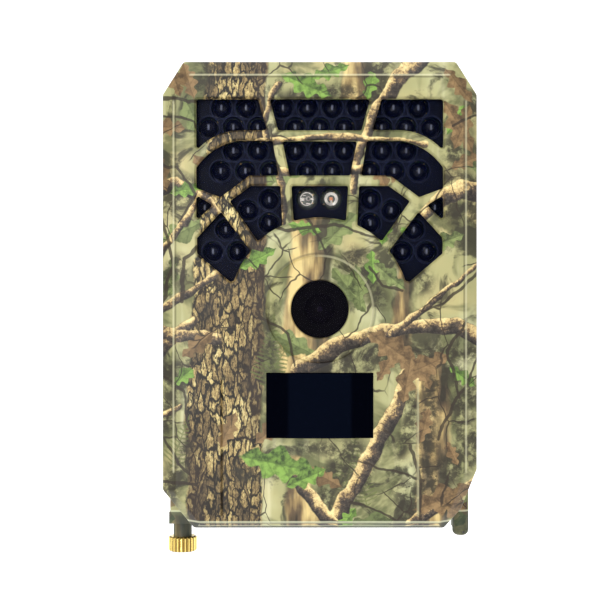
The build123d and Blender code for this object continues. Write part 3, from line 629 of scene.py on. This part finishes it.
def twig_layer(graph, colour, point, warped, u, v):
    """Fine bare twigs: some drawn, and a broken net of finer ones."""
    strokes = Strokes(graph, *warped)
    for chain in FRONT_TWIGS:
        strokes.add_chain(chain, 0.12)
    noises = graph.noises(point, 0.08, 3.0)
    warp_u, warp_v = noises[0] * 0.55, noises[1] * 0.55
    slanted = graph.join(u * 0.09 + v * 0.03 + warp_u, v * 0.05 - u * 0.02 + warp_v, 0.0)
    line = graph.to_edge(slanted, 1.0).step(0.021, 0.008)
    broken = graph.noise(graph.join(u + 70.0, v + 30.0, 0.0), 0.045, 2.0).step(0.5, 0.56)
    steep = graph.join(u * 0.05 - v * 0.045 + warp_u, v * 0.07 + warp_v, 4.0)
    other = graph.to_edge(steep, 1.0).step(0.022, 0.008)
    sparse = graph.noise(graph.join(u + 20.0, v + 80.0, 0.0), 0.05, 2.0).step(0.54, 0.6)
    cover = strokes.cover.max(line * broken).max(other * sparse) * 0.88
    return graph.mix(cover, colour, srgb(46, 38, 30))


# Fern sprigs as (u, v, degrees turned, half length).
FRONT_FERNS = ((-14, 52, 84, 12), (-11, 50, 60, 9), (9, 20, 78, 11), (12, 15, 100, 9), (-40, 26, 70, 9))

LEAF_KINDS = {
    "green": (LEAF_GREEN, DEEP_GREEN),
    "olive": (srgb(126, 138, 84), srgb(58, 64, 40)),
    "dry": (DRY_LEAF, BROWN),
}


def leaf_work(graph, below_colour, along, across, lobes, ragged, fleck, present, bright_colour, dark_colour):
    """A lobed, veined leaf. along and across are in half lengths from its middle."""
    side = across.abs()
    lobe = along.abs().times_plus(lobes, across * 3.0).sin()
    half = (1.0 - along * along) * lobe.times_plus(0.13, 0.34)
    cover = (half - side + ragged).step(-0.02, 0.03)
    veins = along.times_plus(16.0, side * -14.0).sin().step(0.8, 0.97)
    vein = side.step(0.035, 0.012).max(veins * 0.6)
    shade = across.step(-0.03, 0.04) * 0.4 + fleck
    light = graph.mix(vein * 0.45, graph.mix(shade, bright_colour, dark_colour), dark_colour)
    return (graph.mix(cover * present, below_colour, light),)


def placed_leaf_work(
        graph, below_colour, u, v, u0, v0, cosine, sine, ragged, fleck, bright_colour, dark_colour):
    offset_u, offset_v = u - u0, v - v0
    along = offset_u.times_plus(cosine, offset_v * sine)
    across = offset_v.times_plus(cosine, offset_u * sine * -1.0)
    return leaf_work(graph, below_colour, along, across, 11.0, ragged, fleck, 1.0, bright_colour, dark_colour)


def fern_work(graph, below_colour, u, v, u0, v0, cosine, sine, teeth):
    """A feathery sprig: a stem with slanted side blades that shorten towards the tip."""
    offset_u, offset_v = u - u0, v - v0
    along = offset_u.times_plus(cosine, offset_v * sine)
    across = offset_v.times_plus(cosine, offset_u * sine * -1.0).abs()
    blades = along.times_plus(teeth, across * -14.0).sin().step(-0.1, 0.5)
    reach = ((0.9 - along) * 0.3).min((along + 1.0) * 1.2)
    cover = (reach - across).step(0.0, 0.03) * blades.max(across.step(0.03, 0.015))
    return (graph.mix(cover * 0.7, below_colour, srgb(92, 100, 54)),)


def strewn_leaves(graph, colour, point, shift, size, share, kind, lobes):
    """Leaves one to a cell, each turned its own way. share of the cells hold a leaf."""
    moved = graph.vector("ADD", point, shift)
    cells = graph.voronoi(moved, 1.0 / (2.1 * size), randomness=0.75)
    offset_u, offset_v, _ = graph.split(
        graph.vector("SUBTRACT", moved, Field(graph, cells.outputs["Position"])))
    turn, chance, tone = graph.channels(cells.outputs["Color"])
    angle = turn * 6.2832
    cosine, sine = graph.math("COSINE", angle), angle.sin()
    along = (offset_u * cosine + offset_v * sine) / size
    across = (offset_v * cosine - offset_u * sine) / size
    noise = graph.noise(point, 0.5, 4.0, 0.6)
    return STAMPS["leaf"].use(
        graph, colour, along, across, lobes, noise * 0.2 - 0.1, noise.step(0.4, 0.7) * 0.4 + tone * 0.2,
        chance.step(1.0 - share, 1.0 - share + 0.01), *LEAF_KINDS[kind])[0]


def turned_by(degrees, size):
    """Cosine and sine that turn a point and scale it to half lengths."""
    angle = math.radians(degrees)
    return math.cos(angle) / size, math.sin(angle) / size


def placed_leaves(graph, colour, point, u, v):
    noise = graph.noise(point, 0.5, 4.0, 0.6)
    ragged, fleck = noise * 0.2 - 0.1, noise.step(0.38, 0.66) * 0.6
    for u0, v0, degrees, size, kind in FRONT_LEAVES:
        colour = STAMPS["placed_leaf"].use(
            graph, colour, u, v, u0, v0, *turned_by(degrees, size), ragged, fleck, *LEAF_KINDS[kind])[0]
    return colour


def ferns(graph, colour, u, v):
    for u0, v0, degrees, size in FRONT_FERNS:
        colour = STAMPS["fern"].use(graph, colour, u, v, u0, v0, *turned_by(degrees, size), size * 5.2)[0]
    return colour


STAMPS = {
    "stroke": Stamp(
        "stroke", "u v u1 v1 along_u along_v square lit_u lit_v width grow soft cover across",
        "cover across", stroke_work),
    "leaf": Stamp(
        "leaf", "below_colour along across lobes ragged fleck present bright_colour dark_colour",
        "colour", leaf_work),
    "placed_leaf": Stamp(
        "placed_leaf", "below_colour u v u0 v0 cosine sine ragged fleck bright_colour dark_colour",
        "colour", placed_leaf_work),
    "fern": Stamp("fern", "below_colour u v u0 v0 cosine sine teeth", "colour", fern_work),
}


# Cut corners of the case as (corner, outward normal, side): side 0 stands for both.
CUT_CORNERS = (
    ((39.5, 135.3), (0.844, 0.536), 0),
    ((41.0, 5.6), (0.927, -0.374), 1),
    ((36.0, 0.0), (0.746, -0.666), 1),
    ((36.5, 0.0), (0.770, -0.637), -1),
)
BEHIND_FACE_Y = -38.9     # inner side of the front wall
BEHIND_BACK_Y = 14.55     # inner side of the back wall
BEVEL_X = 41.5            # where the face turns into its bevel
BEVEL_Z = 130.3
EDGE_HIGHLIGHT_OFFSET = 0.6        # from the painted shade line of an edge to its painted highlight line
RING_RADIUS = 16.0
CREASE_X = 28.2


def bare_inside(graph):
    """1 on the unprinted faces inside the case: those well within its outline."""
    x, y, z = graph.place_mm()
    side, height = [reach * 1000 for reach in (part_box("rear_shell")[1][0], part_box("front_shell")[1][2])]
    out = (x.abs() - side).max(z - height).max(z * -1.0)
    for corner, normal, hand in CUT_CORNERS:
        width = x * hand if hand else x.abs()
        out = out.max((width - corner[0]) * normal[0] + (z - corner[1]) * normal[1])
    behind_face = y.step(BEHIND_FACE_Y - 0.05, BEHIND_FACE_Y + 0.05)
    before_back = y.step(BEHIND_BACK_Y + 0.05, BEHIND_BACK_Y - 0.05)
    return out.step(-1.2, -1.3) * behind_face * before_back


def painted_edge_light(graph, colour):
    """Painted shade and painted highlight lines on the front: along the bevel, round the upper lens ring and,
    as a highlight only, along the right crease.
    """
    x, y, z = graph.place_mm()
    side = x.abs()
    tall, wide = z.step(16.0, 17.0) * z.step(124.0, 123.0), side.step(38.0, 37.0)
    front = y.step(-40.2, -40.8)
    highlight_x, highlight_z = BEVEL_X + EDGE_HIGHLIGHT_OFFSET, BEVEL_Z + EDGE_HIGHLIGHT_OFFSET
    shade_line = ((side - BEVEL_X).abs().step(0.45, 0.1) * tall).max((z - BEVEL_Z).abs().step(0.45, 0.1) * wide)
    highlight_line = ((side - highlight_x).abs().step(0.45, 0.1) * tall).max((z - highlight_z).abs().step(0.45, 0.1) * wide)
    lens = middle(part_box("front_element"))[2] * 1000
    radius = graph.hypot(x, z - lens)
    upper = z.step(lens - 9.0, lens - 4.0)
    shade_line = shade_line.max((radius - RING_RADIUS).abs().step(0.5, 0.1) * upper)
    highlight_line = highlight_line.max((radius - (RING_RADIUS - 0.7)).abs().step(0.5, 0.1) * upper * x.step(-6.0, 4.0))
    crease = (x - CREASE_X).abs().step(0.5, 0.15) * z.step(44.0, 42.5) * z.step(3.6, 4.4)
    # Painted shade lines first, then the painted highlight lines beside them and on the crease.
    colour = graph.mix(shade_line * front * 0.45, colour, srgb(52, 50, 38))
    return graph.mix(highlight_line.max(crease) * front * 0.4, colour, srgb(216, 212, 176))


def woodland_print():
    """Water-transfer film of a generic woodland, shared by every printed piece."""
    graph = Surface("woodland_print")
    u, v = unrolled(graph)
    flat = graph.join(u, v, 0.0)
    wobble = graph.noises(flat, 0.11, 3.0)
    bent = [u + wobble[0] * 4.2, v + wobble[1] * 4.2]
    ripple = graph.noises(flat, 0.5, 2.0)
    crisp = [u + ripple[0] * 0.7, v + ripple[1] * 0.7]
    fine = graph.join(*crisp)
    colour = background(graph, flat, u, v)
    colour = soft_trunks(graph, colour, flat, *bent)
    colour = strewn_leaves(graph, colour, fine, (13, 8, 0), 8.0, 0.34, "olive", 9.0)
    colour = bark_trunks(graph, colour, bent, u, v)
    colour = ferns(graph, colour, *crisp)
    colour = shadows(graph, colour, bent)
    colour = branch_layer(graph, colour, bent, u, v)
    colour = strewn_leaves(graph, colour, fine, (3, 31, 0), 6.0, 0.16, "dry", 12.0)
    colour = strewn_leaves(graph, colour, fine, (29, 5, 0), 5.0, 0.12, "green", 11.0)
    colour = placed_leaves(graph, colour, fine, *crisp)
    colour = twig_layer(graph, colour, flat, bent, u, v)
    # Painted shade: the strip along the bottom edge, below about 2 mm up, is darkened.
    painted_foot_shade = v.step(2.3, 1.9)
    colour = graph.mix(painted_foot_shade * 0.72, colour, srgb(44, 52, 44))
    # Painted highlight: a thin pale line along the top of the darkened bottom strip.
    colour = graph.mix(v.step(1.9, 2.1) * v.step(2.7, 2.4) * 0.5, colour, srgb(214, 216, 184))
    # Painted shade and highlight lines along the front edges.
    colour = painted_edge_light(graph, colour)
    colour = graph.mix(bare_inside(graph), colour, srgb(50, 55, 38))
    grime = graph.noise(graph.place, 90.0, 4.0).step(0.35, 0.7)
    roughness = 0.4 + grime * 0.12
    texture = graph.noise(graph.place, 2600.0, 2.0)
    graph.bump(texture, 0.12, 0.00006)
    return graph.finish(base_color=colour, roughness=roughness, specular_ior_level=0.22, coat_weight=0.05,
                        coat_roughness=0.25)


# ------------------------------------------------------------------ other materials

def moulded(name, colour, roughness, grain=1800.0, depth=0.00006, strength=0.25, **values):
    """Moulded plastic or rubber with a fine sparkle of texture and slightly uneven gloss."""
    graph = Surface(name)
    cloud = graph.noise(graph.place, 60.0, 3.0)
    tint = graph.mix(cloud.step(0.3, 0.7) * 0.5, colour, tuple(channel * 0.72 for channel in colour))
    graph.bump(graph.noise(graph.place, grain, 3.0), strength, depth)
    return graph.finish(base_color=tint, roughness=roughness + cloud * 0.1, **values)


def metal(name, colour, roughness, stretch=(1, 1, 1), scale=900.0, **values):
    """Metal with fine drawn or turned lines along the short axis of stretch."""
    graph = Surface(name)
    lines = graph.noise(graph.vector("MULTIPLY", graph.place, stretch), scale, 3.0)
    stain = graph.noise(graph.place, 220.0, 3.0).step(0.45, 0.75)
    tint = graph.mix(stain * 0.35, colour, tuple(channel * 0.6 for channel in colour))
    graph.bump(lines, 0.12, 0.00003)
    return graph.finish(base_color=tint, roughness=roughness + lines * 0.14, metallic=1.0, **values)


def tinted(name, colour, alpha, roughness=0.06, **values):
    """Glossy see-through plastic or glass, with faint smears."""
    graph = Surface(name)
    smear = graph.noise(graph.place, 45.0, 4.0, 0.6, 1.2)
    tint = graph.mix(smear.step(0.35, 0.75) * 0.6, colour, tuple(channel * 1.8 + 0.002 for channel in colour))
    return graph.finish(base_color=tint, roughness=roughness + smear * 0.06, alpha=alpha, **values)


def smoked_acrylic():
    """Navy see-through panel, clear over the two sensor domes."""
    graph = Surface("smoked_acrylic")
    x, _, z = graph.split(graph.place)
    smear = graph.noise(graph.place, 45.0, 4.0, 0.6, 1.2)
    clear = 0.0
    for dome in ("light_sensor", "status_led"):
        centre = middle(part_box(dome))
        across, up = x - centre[0], z - centre[2]
        radius = graph.hypot(across, up)
        clear = radius.step(2.85 * MM, 2.65 * MM).max(clear)
    colour = graph.mix(smear.step(0.3, 0.8), srgb(2, 5, 24), srgb(5, 9, 32))
    return graph.finish(
        base_color=colour, alpha=0.3 - clear * 0.27, roughness=0.06 + smear * 0.05, specular_ior_level=0.05)


def cup_plastic():
    """Dark navy plate whose raised cup rims carry a paler painted highlight, patchy in strength."""
    graph = Surface("cup_plastic")
    y = graph.split(graph.place)[1] * 1000.0
    plate_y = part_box("led_cup_plate")[0][1] * 1000
    painted_rim_highlight = y.step(plate_y + 0.5, plate_y + 0.3)
    highlight_and_gloss_noise = graph.noise(graph.place, 500.0, 3.0)
    # Painted highlight on the cup rims; the same noise also varies the roughness.
    colour = graph.mix(painted_rim_highlight * (0.5 + highlight_and_gloss_noise * 0.5), srgb(10, 16, 38), srgb(54, 62, 92))
    graph.bump(graph.noise(graph.place, 1800.0, 3.0), 0.2, 0.00005)
    return graph.finish(base_color=colour, roughness=0.35 + highlight_and_gloss_noise * 0.1, specular_ior_level=0.15)


def led_resin():
    """Near-black domes, each with a painted highlight: a pale upright streak in its middle."""
    graph = Surface("ir_led_resin")
    across, forward, up = graph.split(graph.normal)
    # Painted highlight: a pale upright streak where the dome faces forward.
    painted_highlight = across.abs().step(0.17, 0.05) * up.abs().step(0.42, 0.16) * forward.step(-0.8, -0.9)
    cloud = graph.noise(graph.place, 350.0, 2.0)
    body = graph.mix(cloud * 0.4, srgb(7, 9, 25), srgb(18, 19, 38))
    colour = graph.mix(painted_highlight, body, srgb(168, 174, 200))
    return graph.finish(
        base_color=colour, alpha=0.9, roughness=0.12 + cloud * 0.04, specular_ior_level=0.3, coat_weight=0.3,
        coat_roughness=0.08)


def turned_brass():
    """Bright brass with painted shade down in the flutes of the nut."""
    graph = Surface("turned_brass")
    x, y, _ = graph.split(graph.place)
    low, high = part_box("thumb_nut")
    axis, width = middle((low, high)), high[0] - low[0]
    radius = graph.hypot(x - axis[0], y - axis[1])
    painted_flute_shade = radius.step(width / 2 - 0.1 * MM, width / 2 - 0.32 * MM) * radius.step(width * 0.42, width * 0.44)
    lines = graph.noise(graph.vector("MULTIPLY", graph.place, (1, 1, 30)), 400.0, 3.0)
    stain = graph.noise(graph.place, 260.0, 3.0).step(0.45, 0.75)
    colour = graph.mix(stain * 0.3, srgb(238, 212, 126), srgb(204, 168, 84))
    # Painted shade: the brass is darkened down in the flutes.
    colour = graph.mix(painted_flute_shade * 0.9, colour, srgb(84, 58, 22))
    graph.bump(lines, 0.12, 0.00003)
    return graph.finish(base_color=colour, roughness=0.18 + lines * 0.14, metallic=1.0)


def heat_window():
    """Dark smooth film, a shade lighter over its middle."""
    graph = Surface("heat_window")
    x = graph.split(graph.place)[0] * 1000.0
    central = x.abs().step(9.6, 8.4)
    colour = graph.mix(central, srgb(2, 3, 8), srgb(5, 8, 18))
    cloud = graph.noise(graph.place, 70.0, 3.0)
    graph.bump(graph.noise(graph.place, 900.0, 3.0), 0.1, 0.00002)
    return graph.finish(base_color=colour, roughness=0.32 + cloud * 0.08, specular_ior_level=0.0)


def coated_glass():
    """Lens glass with a small violet pupil and thin coated rings round the lens axis."""
    graph = Surface("coated_lens_glass")
    x, _, z = graph.split(graph.place)
    axis = middle(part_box("front_element"))
    radius = graph.hypot(x - axis[0], z - axis[2]) * 1000.0
    pupil = radius.step(1.0, 0.7)
    rings = (radius * 7.0).sin().step(0.7, 1.0)
    colour = graph.mix(pupil, graph.mix(rings * 0.5, srgb(14, 12, 18), srgb(44, 36, 60)), srgb(104, 84, 140))
    return graph.finish(base_color=colour, alpha=0.75, roughness=0.04, coat_weight=0.6, coat_roughness=0.02)


def circuit_board():
    """Green laminate with paler tracks and gold pads."""
    graph = Surface("circuit_board")
    x, _, z = graph.place_mm()
    point = graph.join(x, z, 0.0)
    track = graph.to_edge(point, 0.5, 0.15).step(0.06, 0.03)
    weave = (x * 9.0).sin() * (z * 9.0).sin()
    green = graph.mix(weave.step(-0.2, 0.6) * 0.3, srgb(18, 70, 40), srgb(12, 54, 32))
    green = graph.mix(track * 0.6, green, srgb(52, 120, 70))
    pads = Field(graph, graph.voronoi(point, 0.33, randomness=0.4).outputs["Distance"]).step(0.1, 0.08)
    colour = graph.mix(pads, green, srgb(214, 190, 120))
    return graph.finish(base_color=colour, roughness=0.35, metallic=pads * 0.8, coat_weight=0.3)


def cell_wrap():
    """Printed sleeve of a cell: a dark body, a coppery upper band and a thin pale line, bare at both ends."""
    graph = Surface("cell_wrap")
    z = graph.split(graph.place)[2] * 1000.0
    low, high = [corner[2] * 1000 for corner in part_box("battery_cells")]
    body = graph.mix(z.step(high - 16.0, high - 15.8), srgb(24, 40, 34), srgb(176, 104, 52))
    line = z.step(high - 17.2, high - 17.1) * z.step(high - 16.0, high - 16.1)
    body = graph.mix(line, body, srgb(226, 220, 200))
    bare = z.step(high - 2.0, high - 1.9).max(z.step(low + 0.9, low + 0.8))
    colour = graph.mix(bare, body, srgb(200, 200, 198))
    scuff = graph.noise(graph.place, 300.0, 4.0)
    graph.bump(scuff, 0.1, 0.00003)
    return graph.finish(base_color=colour, roughness=0.25 + scuff * 0.14, metallic=bare * 0.6 + 0.35)


def display_face():
    """Dark liquid-crystal face with a faint sheen of its dot pattern."""
    graph = Surface("display_face")
    x, _, z = graph.place_mm()
    dots = (x * 20.0).sin() * (z * 20.0).sin()
    colour = graph.mix(dots.step(-0.6, 0.8) * 0.5, srgb(20, 22, 26), srgb(34, 37, 42))
    return graph.finish(base_color=colour, roughness=0.12, coat_weight=1.0, coat_roughness=0.03)


def materials_by_slot():
    black = srgb(26, 26, 27)
    steel = srgb(196, 197, 198)
    return {
        "printed_shell": woodland_print(),
        "dark_panel": smoked_acrylic(),
        "cup_plastic": cup_plastic(),
        "ir_led_resin": led_resin(),
        "clear_resin": tinted("clear_resin", srgb(206, 200, 196), 0.16, 0.05),
        "window_glass": tinted("lens_window_glass", srgb(6, 5, 11), 0.62, 0.03, specular_ior_level=0.05),
        "optical_glass": coated_glass(),
        "filter_glass": tinted("filter_glass", srgb(110, 160, 170), 0.4, 0.03),
        "black_plastic": moulded("black_moulding", black, 0.5),
        "pir_plastic": heat_window(),
        "sensor_can": metal("plated_can", steel, 0.25),
        "circuit_board": circuit_board(),
        "header_plastic": moulded("header_plastic", srgb(214, 205, 180), 0.45),
        "coil": metal("copper_winding", srgb(196, 116, 60), 0.3, (60, 1, 1)),
        "chip": moulded("chip_case", srgb(30, 31, 34), 0.35),
        "tin_plate": metal("tin_plate", srgb(206, 208, 208), 0.28, (1, 1, 12)),
        "display_frame": metal("display_frame", srgb(178, 180, 182), 0.35, (8, 1, 1)),
        "display_glass": display_face(),
        "panel_plastic": moulded("panel_plastic", srgb(34, 35, 36), 0.52, 1400.0, 0.0001, 0.4),
        "key_rubber": moulded("key_rubber", srgb(92, 94, 96), 0.6, 1200.0),
        "slider_plastic": moulded("slider_plastic", srgb(206, 205, 198), 0.42),
        "card_plastic": moulded("card_plastic", srgb(30, 32, 38), 0.4),
        "cell_wrap": cell_wrap(),
        "contact_metal": metal("nickel_contact", srgb(206, 202, 192), 0.22, (1, 1, 14)),
        "screw_steel": metal("zinc_screw", srgb(150, 151, 152), 0.3, (1, 20, 1)),
        "seal_rubber": moulded("seal_rubber", srgb(28, 28, 28), 0.62),
        "brass": turned_brass(),
        "pin_steel": metal("ground_pin", srgb(190, 192, 195), 0.18, (1, 1, 25)),
        "bracket_plastic": moulded("bracket_plastic", srgb(74, 76, 54), 0.55, 1100.0, 0.00012, 0.5),
        "pad_rubber": moulded("pad_rubber", srgb(30, 30, 29), 0.7, 900.0, 0.00015, 0.6),
    }


def dress_nodes(materials):
    for slot_name, names in NODES_IN.items():
        for name in names:
            mesh = NODES[name].data
            mesh.materials.clear()
            mesh.materials.append(materials[slot_name])


# ------------------------------------------------------------------ finer pieces

def islands(node):
    """Low and high corners of each separate lump of a node's mesh."""
    bm = bmesh.new()
    bm.from_mesh(NODES[node].data)
    bmesh.ops.remove_doubles(bm, verts=bm.verts, dist=1e-6)
    seen, boxes = set(), []
    for start in bm.verts:
        if start in seen:
            continue
        lump, queue = [], [start]
        seen.add(start)
        while queue:
            vert = queue.pop()
            lump.append(vert.co.copy())
            for edge in vert.link_edges:
                other = edge.other_vert(vert)
                if other not in seen:
                    seen.add(other)
                    queue.append(other)
        boxes.append([[pick(point[axis] for point in lump) for axis in range(3)] for pick in (min, max)])
    bm.free()
    return boxes


def ring_row(bm, points):
    return [bm.verts.new(point) for point in points]


def skin(bm, rows, closed=False):
    """Quads between rows of points, each row a closed loop."""
    pairs = list(zip(rows, rows[1:])) + ([(rows[-1], rows[0])] if closed else [])
    for first, second in pairs:
        count = len(first)
        for index in range(count):
            after = (index + 1) % count
            bm.faces.new((first[index], first[after], second[after], second[index]))


def turned(bm, centre, profile, sides=24):
    """Ring-shaped body round an axis along Y. profile holds (radius, y) corners of its section."""
    angles = [2 * math.pi * index / sides for index in range(sides)]
    rows = []
    for radius, y in profile:
        rows.append(ring_row(bm, [
            (centre[0] + radius * math.cos(angle), y, centre[2] + radius * math.sin(angle))
            for angle in angles]))
    skin(bm, rows, closed=True)


def chamfered_block(bm, low, high, cut):
    """Box with its long edges round the Y faces cut off."""
    rows = []
    for y, shrink in ((low[1], cut), (low[1] + cut, 0), (high[1] - cut, 0), (high[1], cut)):
        left, right, bottom, top = low[0] + shrink, high[0] - shrink, low[2] + shrink, high[2] - shrink
        rows.append(ring_row(bm, [(left, y, bottom), (right, y, bottom), (right, y, top), (left, y, top)]))
    skin(bm, rows)
    bm.faces.new(rows[0][::-1])
    bm.faces.new(rows[-1])


def block_at(bm, centre, face, across, depth, rise, cut):
    """Chamfered block. The spans are in millimetres: across and rise from the centre, depth from face."""
    corners = [
        (centre[0] + across[end] * MM, face + depth[end] * MM, centre[2] + rise[end] * MM) for end in (0, 1)]
    chamfered_block(bm, *corners, cut * MM)


def ring_at(bm, centre, face, corners, sides):
    """Ring whose section has corners as (radius, depth behind face) in millimetres."""
    turned(bm, centre, [(radius * MM, face + depth * MM) for radius, depth in corners], sides)


def wire(bm, path, radius, sides=8):
    """Round wire along a list of points, closed at both ends."""
    rows = []
    for index, point in enumerate(path):
        before, after = path[max(index - 1, 0)], path[min(index + 1, len(path) - 1)]
        along = (after - before).normalized()
        across = along.cross(Vector((0, 0, 1)))
        across = across.normalized() if across.length > 1e-6 else Vector((1, 0, 0))
        up = across.cross(along)
        angles = [2 * math.pi * side / sides for side in range(sides)]
        rows.append(ring_row(bm, [
            point + across * radius * math.cos(angle) + up * radius * math.sin(angle) for angle in angles]))
    skin(bm, rows)
    bm.faces.new(rows[0][::-1])
    bm.faces.new(rows[-1])


def new_piece(name, bm, body, slot, smooth=True):
    bmesh.ops.recalc_face_normals(bm, faces=bm.faces)
    mesh = bpy.data.meshes.new(name)
    bm.to_mesh(mesh)
    bm.free()
    for face in mesh.polygons:
        face.use_smooth = smooth
    mesh.materials.append(MATERIALS[slot])
    piece = bpy.data.objects.new(name, mesh)
    bpy.context.collection.objects.link(piece)
    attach(piece, body)
    return piece


def battery_springs():
    """Conical wire springs, wide at the plate and narrow at the cell."""
    bm = bmesh.new()
    wire_r = 0.35 * MM
    for low, high in islands("contact_springs"):
        x, y = (low[0] + high[0]) / 2, (low[1] + high[1]) / 2
        bottom, top = low[2] + wire_r, high[2] - wire_r
        turns, steps = 4.5, 110
        path = []
        for step in range(steps + 1):
            share = step / steps
            angle = 2 * math.pi * turns * share
            climb = min(max((share - 0.12) / 0.76, 0), 1)
            radius = (3.8 - 1.5 * climb) * MM
            path.append(Vector((
                x + radius * math.cos(angle), y + radius * math.sin(angle), bottom + (top - bottom) * climb)))
        wire(bm, path, wire_r)
    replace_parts(new_piece("battery_springs", bm, "front", "contact_metal"), "contact_springs")


def led_leads():
    """Reflector cup and post inside each infrared LED."""
    bm = bmesh.new()
    for low, high in islands("ir_leds"):
        centre, tip = middle((low, high)), low[1]
        block_at(bm, centre, tip, (-0.26, 0.26), (0.5, 1.4), (-0.8, 0.8), 0.14)
        block_at(bm, centre, tip, (-0.9, 0.9), (2.2, 4.2), (-0.5, 0.5), 0.2)
    new_piece("led_leads", bm, "front", "contact_metal", smooth=False)


def dome_leads():
    """Lead frames inside the two clear domes of the middle window, and the chip of the right one."""
    bm = bmesh.new()
    low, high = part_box("light_sensor")
    centre, face = middle((low, high)), low[1] + 1.0 * MM
    ring_at(bm, centre, face, ((1.75, 0), (1.95, 0), (1.95, 0.5), (1.75, 0.5)), 32)
    cup = (centre[0] + 0.45 * MM, face, centre[2] + 0.1 * MM)
    ring_at(bm, cup, face, ((0.38, 0.2), (0.72, 0), (0.72, 0.4), (0.38, 0.4)), 24)
    for across, rise in (
        ((-1.72, -0.75), (-0.55, 0.35)), ((1.1, 1.72), (-0.3, 0.3)), ((-0.8, -0.1), (0.02, 0.14)),
        ((-0.2, 0.9), (-1.55, -1.15)), ((-1.2, -0.3), (0.95, 1.15)),
    ):
        block_at(bm, centre, face, across, (0, 0.4), rise, 0.06)
    centre = middle(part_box("status_led"))
    ring_at(bm, centre, face, ((1.15, 0.25), (1.95, 0), (1.95, 0.5), (1.15, 0.6)), 32)
    block_at(bm, centre, face, (-0.2, 0.2), (0, 0.3), (-1.2, -0.4), 0.05)
    new_piece("dome_leads", bm, "front", "contact_metal", smooth=False)
    bm = bmesh.new()
    block_at(bm, centre, face, (-0.55, 0.5), (0.1, 0.6), (-0.5, 0.55), 0.12)
    new_piece("dome_chip", bm, "front", "coil", smooth=False)


def key_marks():
    """Raised arrow heads, a ring and bars on the keys."""
    height = 0.12 * MM
    turns = {"up_key": 90, "down_key": 270, "left_key": 180, "right_key": 0}
    for key, degrees in turns.items():
        bm = bmesh.new()
        low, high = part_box(key)
        centre, top = middle((low, high)), high[1]
        angle = math.radians(degrees)
        corners = []
        for reach, spread in ((1.15, 0), (-0.7, 1.1), (-0.25, 0), (-0.7, -1.1)):
            corners.append((
                centre[0] + (reach * math.cos(angle) - spread * math.sin(angle)) * MM,
                centre[2] + (reach * math.sin(angle) + spread * math.cos(angle)) * MM))
        rows = [ring_row(bm, [(x, y, z) for x, z in corners]) for y in (top - height, top)]
        skin(bm, rows)
        bm.faces.new(rows[1])
        new_piece(key + "_mark", bm, key, "slider_plastic", smooth=False)
    bm = bmesh.new()
    low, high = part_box("ok_key")
    turned(bm, middle((low, high)), [(0.75 * MM, high[1] - height), (1.05 * MM, high[1] - height),
                                     (1.05 * MM, high[1]), (0.75 * MM, high[1])])
    new_piece("ok_key_mark", bm, "ok_key", "slider_plastic", smooth=False)
    bm = bmesh.new()
    low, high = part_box("menu_key")
    centre = middle((low, high))
    for rise in (-0.8, 0.0, 0.8):
        span = (rise - 0.16, rise + 0.16)
        block_at(bm, centre, high[1] - height, (-1.1, 1.1), (0, height / MM), span, 0.04)
    new_piece("menu_key_mark", bm, "menu_key", "slider_plastic", smooth=False)


make_camera()
make_light()
make_floor()
MATERIALS = materials_by_slot()
dress_nodes(MATERIALS)
battery_springs()
led_leads()
dome_leads()
key_marks()
